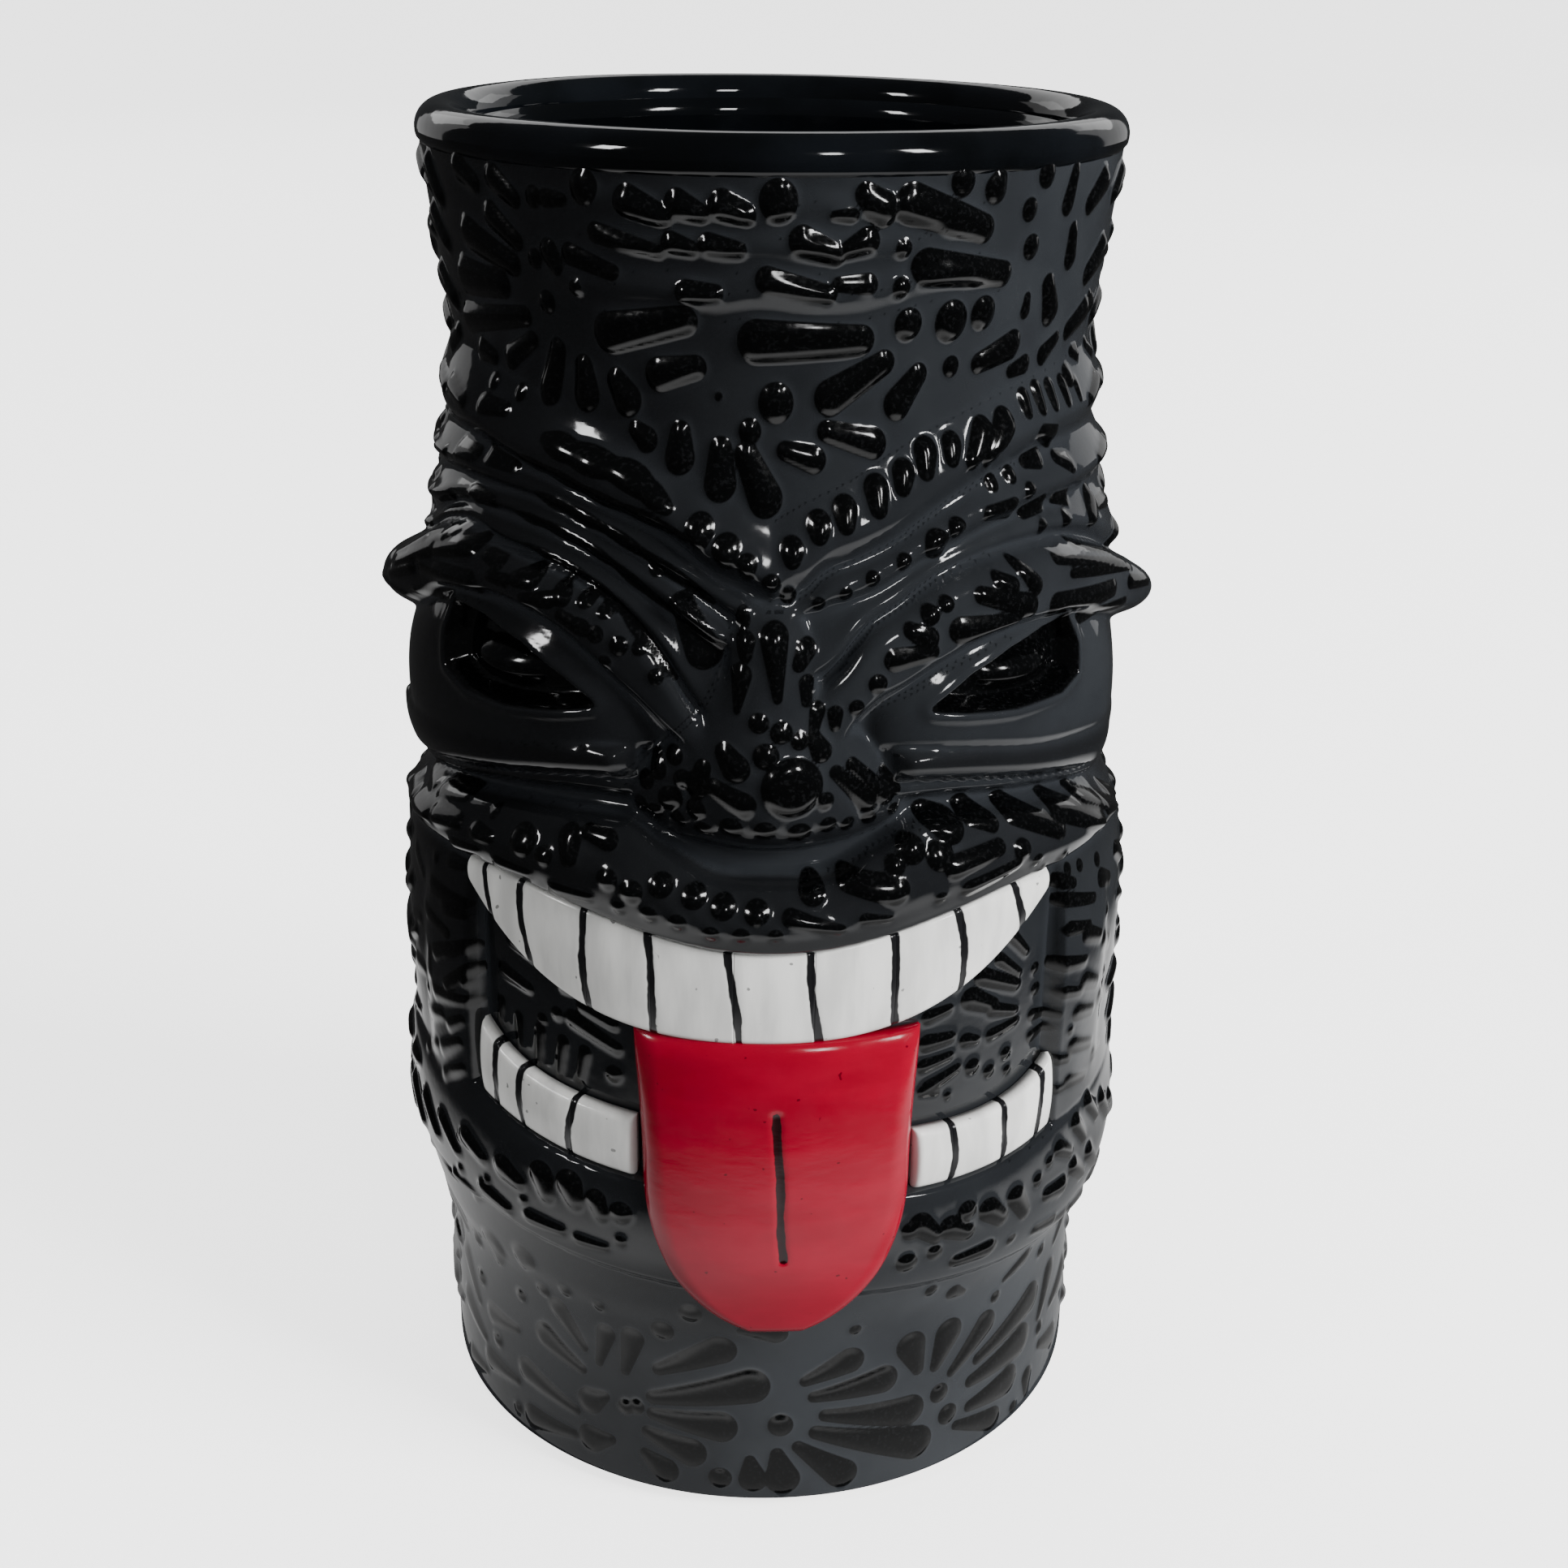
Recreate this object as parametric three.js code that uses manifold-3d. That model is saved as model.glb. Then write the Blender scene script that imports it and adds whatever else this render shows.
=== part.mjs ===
// A glazed ceramic tiki mug: a tall cup whose wall is a grinning carved face.
//
// Every clay part of the face is its own closed solid, laid on the cup's wall with a thin luting gap,
// as a potter models them before firing. Millimetres, +Z up. The origin is the middle of the foot,
// on the surface that the mug stands on, and the face looks along -Y. Left is -X, as the viewer sees it.
//
// Places on the wall are given as (angle, z): the angle is in degrees around the mug's axis,
// 0 at the middle of the face and positive towards +X.
import * as THREE from "three";
import { mergeVertices } from "three/addons/utils/BufferGeometryUtils.js";
import Module from "manifold-3d";

const wasm = await Module();
wasm.setup();

// Driving dimensions.
const HEIGHT = 170;
const LUTING_GAP = 0.35;
const EDGE_THICKNESS = 0.5;
const CUP_SEGMENTS = 48;
const RIM_SEGMENTS = 48;

const FOOT = { inner: 34, outer: 42.2, height: 2 };
const FLOOR_TOP = 8;
const RIM = { inner: 35.6, outer: 41.6, base: 165.7 };
const RECESS_RADIUS = 44.8;
const TEETH_RADIUS = 46.7;
const TONGUE_RADIUS = 49.5;
const NOSE_RADIUS = 49.5;

// The cup's outer and inner wall, as radius and height: base drum, jaw, mouth, eyes, waist, rim.
const WALL_OUTSIDE = [
  [43.3, 2.3], [43.9, 6], [43.9, 22], [45.4, 30], [47.3, 37], [47.8, 45], [47.8, 78], [46.8, 86],
  [44.0, 92], [42.8, 100], [42.3, 115], [41.2, 124], [39.4, 135], [38.4, 144], [39.2, 152],
  [40.4, 160], [41.0, 165.4],
];
const WALL_INSIDE = [
  [35.6, 165.4], [35.2, 156], [34.4, 144], [37.2, 122], [38.8, 100], [40.3, 80], [40.3, 30],
  [39.5, 16], [36.5, 10], [30, FLOOR_TOP],
];

// The lower jaw hangs lower on the right, as on a hand-carved model: millimetres per degree, up to 50 degrees.
const jawTilt = (angle) => -0.055 * THREE.MathUtils.clamp(angle, -50, 50);

// Tooth borders, in degrees round the wall. The tongue covers the lower teeth between the two groups.
const UPPER_TEETH = [-50, -45, -37.5, -27, -17, -5.2, 6.1, 17.7, 28, 38.4, 45];
const LOWER_TEETH_LEFT = [-49, -45, -39.5, -30.2, -22];
const LOWER_TEETH_RIGHT = [23.6, 28.2, 38, 46, 49.5];
const TOOTH_GAP = 0.35;
const TONGUE = { centre: 1.2, halfWidth: 21, top: 68.8, straight: 49, tip: 29.6 };
const MOUTH_HALF_WIDTH = 50.8;

const GLAZE = new THREE.MeshStandardMaterial({ color: 0x15171b, roughness: 0.12, metalness: 0 });
const WHITE = new THREE.MeshStandardMaterial({ color: 0xd8d8d4, roughness: 0.2, metalness: 0 });
const RED = new THREE.MeshStandardMaterial({ color: 0xa80818, roughness: 0.22, metalness: 0 });
const BARE_CLAY = new THREE.MeshStandardMaterial({ color: 0xb08a6c, roughness: 0.85, metalness: 0 });

const mug = new THREE.Group();

function addPart(name, geometry, material) {
  const mesh = new THREE.Mesh(geometry, material);
  mesh.name = name;
  mug.add(mesh);
}

// ---- shared shape tools ----

function smooth(t) {
  const c = THREE.MathUtils.clamp(t, 0, 1);
  return c * c * (3 - 2 * c);
}

// Points of a smooth curve through the given radius and height pairs.
function smoothProfile(pairs, count) {
  const curve = new THREE.SplineCurve(pairs.map(([r, z]) => new THREE.Vector2(r, z)));
  return curve.getPoints(count);
}

const outside = smoothProfile(WALL_OUTSIDE, 18);
const inside = smoothProfile(WALL_INSIDE, 9);

// The cup wall's outer radius at a height.
function wallRadius(z) {
  const last = outside.length - 1;
  if (z <= outside[0].y) return outside[0].x;
  if (z >= outside[last].y) return outside[last].x;
  const i = outside.findIndex((p) => p.y >= z);
  const [a, b] = [outside[i - 1], outside[i]];
  return a.x + ((b.x - a.x) * (z - a.y)) / (b.y - a.y);
}

function place(angle, z, radius) {
  const a = THREE.MathUtils.degToRad(angle);
  return [radius * Math.sin(a), -radius * Math.cos(a), z];
}

// A closed solid between an inner and an outer sheet. at(u, v) gives [angle, z] on the wall,
// with u from -1 to 1 across and v from 0 to 1 along, and the two radius functions take (angle, z, u, v).
function sheetSolid({ cols, rows, at, innerRadius, outerRadius }) {
  const positions = [];
  const sheets = [outerRadius, innerRadius];
  for (const radius of sheets) {
    for (let j = 0; j <= rows; j++) {
      for (let i = 0; i <= cols; i++) {
        const u = (2 * i) / cols - 1;
        const v = j / rows;
        const [angle, z] = at(u, v);
        positions.push(...place(angle, z, radius(angle, z, u, v)));
      }
    }
  }
  const width = cols + 1;
  const inner = width * (rows + 1);
  const index = [];
  const quad = (a, b, c, d) => index.push(a, b, c, a, c, d);
  for (let j = 0; j < rows; j++) {
    for (let i = 0; i < cols; i++) {
      const a = j * width + i;
      quad(a, a + 1, a + 1 + width, a + width);
      quad(inner + a, inner + a + width, inner + a + 1 + width, inner + a + 1);
    }
  }
  for (let i = 0; i < cols; i++) {
    const top = rows * width + i;
    quad(inner + i, inner + i + 1, i + 1, i);
    quad(top, top + 1, inner + top + 1, inner + top);
  }
  for (let j = 0; j < rows; j++) {
    const left = j * width;
    const right = left + cols;
    quad(inner + left, left, left + width, inner + left + width);
    quad(right, inner + right, inner + right + width, right + width);
  }
  const geometry = new THREE.BufferGeometry();
  geometry.setAttribute("position", new THREE.Float32BufferAttribute(positions, 3));
  geometry.setIndex(index);
  geometry.computeVertexNormals();
  return geometry;
}

const onWall = (angle, z) => wallRadius(z) + LUTING_GAP;

// A raised band of clay along a line on the wall. line is a list of [angle, z]; halfWidth and height are
// functions of the share of the way along, in millimetres.
function band({ line, halfWidth, height, cols = 4, rows = 12, crown = 0 }) {
  const scale = THREE.MathUtils.degToRad(wallRadius(line[0][1]));
  const curve = new THREE.SplineCurve(line.map(([a, z]) => new THREE.Vector2(a * scale, z)));
  const at = (u, v) => {
    const p = curve.getPoint(v);
    const t = curve.getTangent(v);
    const w = halfWidth(v) * u;
    return [(p.x - t.y * w) / scale, p.y + t.x * w];
  };
  const outerRadius = (angle, z, u, v) => {
    const lean = 1 - (u - crown) ** 2 / (1 + Math.abs(crown)) ** 2;
    return onWall(angle, z) + EDGE_THICKNESS + height(v) * Math.sqrt(Math.max(lean, 0));
  };
  return sheetSolid({ cols, rows, at: (u, v) => at(-u, v), innerRadius: onWall, outerRadius });
}

// The same line seen in a mirror, for the other side of the face.
const mirrored = (line) => line.map(([a, z]) => [-a, z]).reverse();

function solidOf(geometry) {
  const bare = geometry.clone();
  bare.deleteAttribute("normal");
  bare.deleteAttribute("uv");
  const merged = mergeVertices(bare, 1e-4);
  return new wasm.Manifold(
    new wasm.Mesh({
      numProp: 3,
      vertProperties: merged.attributes.position.array,
      triVerts: new Uint32Array(merged.index.array),
    }),
  );
}

function geometryOf(solid) {
  const mesh = solid.getMesh();
  const geometry = new THREE.BufferGeometry();
  geometry.setAttribute("position", new THREE.BufferAttribute(mesh.vertProperties, 3));
  geometry.setIndex(new THREE.BufferAttribute(mesh.triVerts, 1));
  geometry.computeVertexNormals();
  return geometry;
}

// LatheGeometry turns about Y, so the mug's profile is stood up along Z afterwards.
function turned(points, segments) {
  const closed = [...points, points[0].clone()];
  return new THREE.LatheGeometry(closed, segments).rotateX(Math.PI / 2);
}

// ---- mouth outlines ----

const lipBottom = (angle) => 81.4 + 4.6 * smooth(Math.abs(angle) / 45);

function upperTeethBottom(angle) {
  const t = Math.abs(angle + 2.75) / 47.75;
  return 69.8 + 14 * Math.min(t, 1) ** 2.8;
}

const lowerTeethTop = (angle) => 57.4 + 4.6 * (Math.abs(angle) / 49) ** 6 + jawTilt(angle);

const lowerTeethBottom = (angle) => 49.6 + 2.8 * (Math.abs(angle) / 49) ** 4 + jawTilt(angle);

// ---- the cup ----

function cup() {
  const points = [
    new THREE.Vector2(0, 2.3),
    new THREE.Vector2(FOOT.inner, 2.3),
    ...outside,
    ...inside,
    new THREE.Vector2(0, FLOOR_TOP),
  ];
  const body = solidOf(new THREE.LatheGeometry(points, CUP_SEGMENTS).rotateX(Math.PI / 2));
  const recess = sheetSolid({
    cols: 16,
    rows: 4,
    at: (u, v) => {
      const angle = u * MOUTH_HALF_WIDTH;
      const bottom = lowerTeethBottom(angle) - TOOTH_GAP;
      return [angle, bottom + (lipBottom(angle) - bottom) * v];
    },
    innerRadius: () => RECESS_RADIUS,
    outerRadius: () => RECESS_RADIUS + 8,
  });
  return geometryOf(body.subtract(solidOf(recess)));
}

function rimBand() {
  const half = (RIM.outer - RIM.inner) / 2;
  const middle = (RIM.outer + RIM.inner) / 2;
  const crestZ = HEIGHT - half;
  const arc = [];
  for (let i = 0; i <= 6; i++) {
    const a = (i / 6) * Math.PI;
    arc.push(new THREE.Vector2(middle + half * Math.cos(a), crestZ + half * Math.sin(a)));
  }
  const points = [
    new THREE.Vector2(RIM.inner, RIM.base),
    new THREE.Vector2(RIM.outer, RIM.base),
    ...arc,
  ];
  return turned(points, RIM_SEGMENTS);
}

function footRing() {
  const points = [
    new THREE.Vector2(FOOT.inner + 0.5, 0),
    new THREE.Vector2(FOOT.outer - 0.8, 0),
    new THREE.Vector2(FOOT.outer, 0.8),
    new THREE.Vector2(FOOT.outer, FOOT.height),
    new THREE.Vector2(FOOT.inner, FOOT.height),
    new THREE.Vector2(FOOT.inner, 0.5),
  ];
  return turned(points, RIM_SEGMENTS);
}

addPart("cup_body", cup(), GLAZE);
addPart("rim_band", rimBand(), GLAZE);
addPart("foot_ring", footRing(), BARE_CLAY);

// ---- forehead: three wrinkles, then two chevrons on each side ----

const taper = (v) => Math.sin(Math.PI * THREE.MathUtils.clamp(v, 0.04, 0.96)) ** 0.5;

const WRINKLES = { upper: 161.6, middle: 157.4, lower: 153.0 };
for (const [name, z] of Object.entries(WRINKLES)) {
  const line = [[-36, z + 0.4], [-18, z], [0, z - 0.2], [16, z], [30, z + 0.5]];
  const geometry = band({ line, halfWidth: (v) => 1.75 * taper(v), height: () => 1.0, cols: 4, crown: -0.4 });
  addPart(`forehead_wrinkle_${name}`, geometry, GLAZE);
}

const CHEVRONS = {
  upper: { line: [[2, 123.5], [14, 132], [30, 137], [48, 139.2], [76, 138.8], [104, 138]], width: 3.1, height: 1.7 },
  lower: { line: [[4.5, 116], [13, 122.5], [28, 127.2], [46, 129], [76, 128], [104, 127]], width: 2.9, height: 2.2 },
};
for (const [name, { line, width, height }] of Object.entries(CHEVRONS)) {
  const swell = (v) => width * (0.35 + 0.65 * taper(v));
  const rise = (v) => height * (0.4 + 0.6 * taper(v));
  addPart(`chevron_${name}_right`, band({ line, halfWidth: swell, height: rise }), GLAZE);
  const other = mirrored(line);
  addPart(`chevron_${name}_left`, band({ line: other, halfWidth: swell, height: rise }), GLAZE);
}

// ---- brows, which flare into a blunt point at each side ----

const BROW_TIPS = { left: 115.5, right: 112.5 };
for (const [side, sign] of [["left", -1], ["right", 1]]) {
  const tip = BROW_TIPS[side];
  const line = [[10.5, 109.5], [19, 115.8], [34, 119.2], [52, 119.3], [68, tip + 3], [88, tip]];
  const placed = line.map(([a, z]) => [a * sign, z]);
  const flare = (v) => (sign > 0 ? v : 1 - v);
  const geometry = band({
    line: sign > 0 ? placed : placed.reverse(),
    halfWidth: (v) => 1.4 + 2.2 * smooth(flare(v) / 0.4) - 1.6 * smooth((flare(v) - 0.82) / 0.18),
    height: (v) => 1.2 + 1.6 * smooth(flare(v) / 0.35) + 2.2 * smooth((flare(v) - 0.62) / 0.26),
    rows: 15,
  });
  addPart(`brow_${side}`, geometry, GLAZE);
}

// ---- eyes: a long bulge under each brow, with a rolled lower lid ----

for (const [side, sign] of [["left", -1], ["right", 1]]) {
  const top = (a) => Math.min(108.5 + (a - 21) * 0.45, 114.4 - Math.max(a - 48, 0) * 0.17);
  const bottom = (a) => 104.6 - (a - 20) * 0.105;
  const eyeHeight = (u, v) => 3.7 * Math.sqrt(Math.max(1 - u * u, 0)) * Math.sin(Math.PI * (0.1 + 0.8 * v)) ** 0.5;
  const eye = sheetSolid({
    cols: 10,
    rows: 6,
    at: (u, v) => {
      const a = 53 + 30 * u * sign;
      return [a * sign, bottom(a) + (top(a) - bottom(a)) * v];
    },
    innerRadius: onWall,
    outerRadius: (angle, z, u, v) => onWall(angle, z) + EDGE_THICKNESS + eyeHeight(u, v),
  });
  addPart(`eye_${side}`, eye, GLAZE);
  const lid = [[20, 102.2], [36, 101], [54, 98.9], [70, 96.7], [84, 94.6]].map(([a, z]) => [a * sign, z]);
  const lidShape = {
    line: sign > 0 ? lid : lid.reverse(),
    halfWidth: (v) => 1.3 + 0.5 * taper(v),
    height: (v) => 1.2 + 1.6 * taper(v),
    rows: 10,
  };
  addPart(`lower_lid_${side}`, band(lidShape), GLAZE);
}

// ---- nose: a narrow bridge that swells into a broad bulb ----

const nose = sheetSolid({
  cols: 8,
  rows: 10,
  at: (u, v) => {
    const halfAngle = 2.5 + 14.2 * smooth((0.82 - v) / 0.5) - 3.2 * smooth((0.16 - v) / 0.16);
    const z = 91.5 + 28.5 * v + 3.2 * u * u * (1 - smooth(v / 0.35));
    return [u * halfAngle, z];
  },
  innerRadius: onWall,
  outerRadius: (angle, z, u, v) => {
    const along = smooth(v / 0.3) * (1 - 0.62 * smooth((v - 0.3) / 0.6));
    const rise = (NOSE_RADIUS - wallRadius(z) - LUTING_GAP - EDGE_THICKNESS) * along;
    return onWall(angle, z) + EDGE_THICKNESS + rise * Math.sqrt(Math.max(1 - u * u, 0));
  },
});
addPart("nose", nose, GLAZE);

// ---- mouth: lips, teeth and tongue ----

function lipTop(angle) {
  const a = Math.abs(angle);
  return a < 22 ? 90.4 + 5.6 * smooth((a - 6) / 14) : 96 - 6.6 * smooth((a - 30) / 56);
}

const upperLip = sheetSolid({
  cols: 28,
  rows: 5,
  at: (u, v) => {
    const angle = u * 88;
    const bottom = lipBottom(angle) + LUTING_GAP - 1.6 * smooth((Math.abs(angle) - 52) / 34);
    return [angle, bottom + (lipTop(angle) - bottom) * v];
  },
  innerRadius: onWall,
  outerRadius: (angle, z, u, v) => {
    const crest = Math.sqrt(Math.max(1 - (2 * v - 1) ** 2, 0));
    const fade = 1 - 0.6 * smooth((Math.abs(u) - 0.7) / 0.3);
    return onWall(angle, z) + EDGE_THICKNESS + (0.9 + 1.9 * v) * crest * fade;
  },
});
addPart("upper_lip", upperLip, GLAZE);

// The lower lip passes under the tongue, so it is two bands that meet the tongue's sides.
function lowerLipHalf(from, to) {
  const bottom = (angle) => 35.2 - 6 * (Math.abs(angle) / 81) ** 2 + jawTilt(angle);
  const top = (angle) => lowerTeethBottom(Math.sign(angle) * Math.min(Math.abs(angle), 50)) - 1;
  return sheetSolid({
    cols: 14,
    rows: 5,
    at: (u, v) => {
      const angle = from + ((to - from) * (u + 1)) / 2;
      return [angle, bottom(angle) + (top(angle) - bottom(angle)) * v];
    },
    innerRadius: onWall,
    outerRadius: (angle, z, u, v) => {
      const crest = Math.sqrt(Math.max(1 - (2 * v - 1) ** 2, 0));
      const lift = 1.1 * (1 - v) + 0.1;
      return onWall(angle, z) + EDGE_THICKNESS * 0.7 + lift * crest;
    },
  });
}
addPart("lower_lip_left", lowerLipHalf(-86, TONGUE.centre - TONGUE.halfWidth - 1), GLAZE);
addPart("lower_lip_right", lowerLipHalf(TONGUE.centre + TONGUE.halfWidth + 1, 86), GLAZE);

function tooth(from, to, bottomOf, topOf) {
  return sheetSolid({
    cols: 4,
    rows: 3,
    at: (u, v) => {
      const angle = (from + to) / 2 + ((to - from) / 2 - TOOTH_GAP) * u;
      return [angle, bottomOf(angle) + (topOf(angle) - bottomOf(angle)) * v];
    },
    innerRadius: () => RECESS_RADIUS + LUTING_GAP,
    outerRadius: (angle, z, u, v) => {
      const pillow = 0.35 * (1 - u ** 4) * Math.sin(Math.PI * v);
      return TEETH_RADIUS - 0.35 + pillow;
    },
  });
}

function addTeeth(prefix, borders, bottomOf, topOf) {
  for (let i = 0; i + 1 < borders.length; i++) {
    addPart(`${prefix}_${i + 1}`, tooth(borders[i], borders[i + 1], bottomOf, topOf), WHITE);
  }
}

const underLip = (angle) => lipBottom(angle) - TOOTH_GAP;
const overLowerLip = (angle) => lowerTeethBottom(angle) + TOOTH_GAP;
addTeeth("upper_tooth", UPPER_TEETH, upperTeethBottom, underLip);
addTeeth("lower_tooth_left", LOWER_TEETH_LEFT, overLowerLip, lowerTeethTop);
addTeeth("lower_tooth_right", LOWER_TEETH_RIGHT, overLowerLip, lowerTeethTop);

// Half the tongue's width at a height, as a share of its full half width: straight sides, round tip.
function tongueShare(z) {
  const down = (TONGUE.straight - z) / (TONGUE.straight - TONGUE.tip);
  return down <= 0 ? 1 : Math.sqrt(Math.max(1 - down * down, 0.02));
}

// The tongue's back lies in the mouth above the lip, on the lip, and on the base drum under it.
function tongueBack(angle, z) {
  const shelf = lowerTeethBottom(angle) + 1.5;
  if (z > shelf + 1.2) return RECESS_RADIUS + LUTING_GAP;
  return z > shelf - 3 ? wallRadius(44) + LUTING_GAP : onWall(angle, z);
}

const tongue = sheetSolid({
  cols: 10,
  rows: 20,
  at: (u, v) => {
    const z = TONGUE.tip + 0.2 + (TONGUE.top - TONGUE.tip) * v ** 1.15;
    return [TONGUE.centre + u * TONGUE.halfWidth * tongueShare(z), z];
  },
  innerRadius: tongueBack,
  outerRadius: (angle, z, u, v) => {
    const back = tongueBack(angle, z);
    const tipRound = Math.sqrt(1 - (1 - smooth(v / 0.22)) ** 2);
    const dome = Math.sqrt(Math.max(1 - Math.abs(u) ** 5, 0));
    const full = (TONGUE_RADIUS - wallRadius(44) - LUTING_GAP) * (0.45 + 0.55 * dome);
    const face = wallRadius(44) + LUTING_GAP + full - 3.4 * (1 - smooth(v / 0.3));
    return Math.max(back + EDGE_THICKNESS, back + (face - back) * (0.25 + 0.75 * tipRound));
  },
});
addPart("tongue", tongue, RED);

export default mug;
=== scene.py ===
"""The finished look of a black glazed tiki mug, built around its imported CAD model.

The mug's outer wall is one relief: a radius for every angle and height, with the face's folds first and
the raised petals of slip on top. The relief is then cut into named pieces, one for each clay part of the
CAD model, that share their edges, so that the glaze runs on from one to the next. Sizes in the relief are
in millimetres and angles in degrees round the mug, 0 at the middle of the face and positive towards +X.
"""
import math

import bpy
import numpy as np
from mathutils import Matrix, Vector


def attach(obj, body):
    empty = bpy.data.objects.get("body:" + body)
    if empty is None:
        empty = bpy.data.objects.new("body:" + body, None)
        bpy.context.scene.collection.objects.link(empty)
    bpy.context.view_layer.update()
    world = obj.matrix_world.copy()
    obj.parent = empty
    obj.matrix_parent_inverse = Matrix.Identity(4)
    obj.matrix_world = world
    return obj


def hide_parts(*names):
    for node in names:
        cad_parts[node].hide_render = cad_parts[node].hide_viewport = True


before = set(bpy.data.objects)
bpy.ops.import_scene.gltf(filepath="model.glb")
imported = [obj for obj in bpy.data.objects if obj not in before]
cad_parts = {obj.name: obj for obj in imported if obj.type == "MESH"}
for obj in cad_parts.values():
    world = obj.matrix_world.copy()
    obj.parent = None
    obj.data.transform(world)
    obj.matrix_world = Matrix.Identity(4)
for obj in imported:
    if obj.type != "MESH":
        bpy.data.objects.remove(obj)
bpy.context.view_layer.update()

MM = 0.001
COLUMNS = 800
ROWS = 456
WALL_BOTTOM = 1.9
WALL_TOP = 166.4
MM_PER_DEGREE = math.radians(46.0)

# The wall's own outline, as (height, radius), under the relief.
WALL = [
    (0, 43.2), (3, 43.4), (8, 43.4), (22, 43.3), (27, 43.8), (32, 45.3), (36, 46.4), (41, 46.9),
    (56, 46.8), (78, 46.5), (84, 45.6), (88, 43.8), (92, 42.6), (100, 42.4), (115, 42.0),
    (124, 40.8), (135, 39.0), (144, 38.2), (152, 39.2), (160, 40.2), (167, 40.9),
]

angles = -180.0 + 360.0 * np.arange(COLUMNS) / COLUMNS
heights = np.linspace(WALL_BOTTOM, WALL_TOP, ROWS + 1)
ANG, Z = np.meshgrid(angles, heights)
SIDE = np.abs(ANG)
CELL_S = 360.0 / COLUMNS * MM_PER_DEGREE
CELL_Z = heights[1] - heights[0]


# ---- number tools ----

def clamp(x, lo=0.0, hi=1.0):
    return np.minimum(np.maximum(x, lo), hi)


def step(x, lo, hi):
    t = clamp((x - lo) / (hi - lo))
    return t * t * (3.0 - 2.0 * t)


def curve(points):
    """A smooth single-valued curve through (x, y) points, as a function."""
    xs = np.array([p[0] for p in points], float)
    ys = np.array([p[1] for p in points], float)
    slopes = np.gradient(ys, xs)
    flat = np.zeros(len(xs), bool)
    flat[1:-1] = (ys[1:-1] - ys[:-2]) * (ys[2:] - ys[1:-1]) <= 0
    slopes[flat] = 0.0

    def value(x):
        x = clamp(np.asarray(x, float), xs[0], xs[-1])
        k = clamp(np.searchsorted(xs, x, side="right") - 1, 0, len(xs) - 2).astype(int)
        width = xs[k + 1] - xs[k]
        t = (x - xs[k]) / width
        a = 2 * t**3 - 3 * t**2 + 1
        b = t**3 - 2 * t**2 + t
        c = -2 * t**3 + 3 * t**2
        d = t**3 - t**2
        return a * ys[k] + b * width * slopes[k] + c * ys[k + 1] + d * width * slopes[k + 1]

    return value


def smooth_max(a, b, blend):
    h = clamp(0.5 + 0.5 * (a - b) / blend)
    return b + (a - b) * h + blend * h * (1.0 - h)


def blur(field, radius_mm):
    """Softens a field over the wall, which joins up with itself round the back."""
    for axis, cell in ((1, CELL_S), (0, CELL_Z)):
        sigma = radius_mm / cell
        reach = max(1, int(3 * sigma + 0.5))
        weights = np.exp(-0.5 * (np.arange(-reach, reach + 1) / sigma) ** 2)
        weights /= weights.sum()
        mode = "wrap" if axis == 1 else "edge"
        pad = [(0, 0), (0, 0)]
        pad[axis] = (reach, reach)
        padded = np.pad(field, pad, mode=mode)
        out = np.zeros_like(field)
        for k, w in enumerate(weights):
            if axis == 1:
                out += w * padded[:, k:k + field.shape[1]]
            else:
                out += w * padded[k:k + field.shape[0], :]
        field = out
    return field


def round_shoulder(depth, radius):
    """0 at an edge, rising like a quarter circle to 1 a radius inside it."""
    return np.sqrt(1.0 - (1.0 - clamp(depth / radius)) ** 2)


def wrapped(angle):
    return (ANG - angle + 180.0) % 360.0 - 180.0


def distance_to_line(points):
    """Distance in mm from every place on the wall to a line through (angle, height) points."""
    best = np.full(ANG.shape, 1e9)
    middle = 0.5 * (points[0][0] + points[-1][0])
    s = wrapped(middle) * MM_PER_DEGREE
    flat = [((a - middle) * MM_PER_DEGREE, z) for a, z in points]
    for p, q in zip(flat, flat[1:]):
        length = math.dist(p, q)
        ux, uz = (q[0] - p[0]) / length, (q[1] - p[1]) / length
        t = clamp(((s - p[0]) * ux + (Z - p[1]) * uz) / length)
        best = np.minimum(best, np.hypot(s - p[0] - t * length * ux, Z - p[1] - t * length * uz))
    return best


def smooth_line(points, count):
    xs = np.linspace(0, 1, len(points))
    fine = np.linspace(0, 1, count)
    a = curve([(x, p[0]) for x, p in zip(xs, points)])(fine)
    z = curve([(x, p[1]) for x, p in zip(xs, points)])(fine)
    return list(zip(a.tolist(), z.tolist()))


# ---- the face's folds ----

base = curve(WALL)(heights)[:, None] + np.zeros_like(ANG)
folds = np.zeros_like(ANG)
part = np.zeros(ANG.shape, int)
PARTS = ["wall"]


def claim(name, inside):
    PARTS.append(name)
    part[inside] = len(PARTS) - 1


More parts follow.
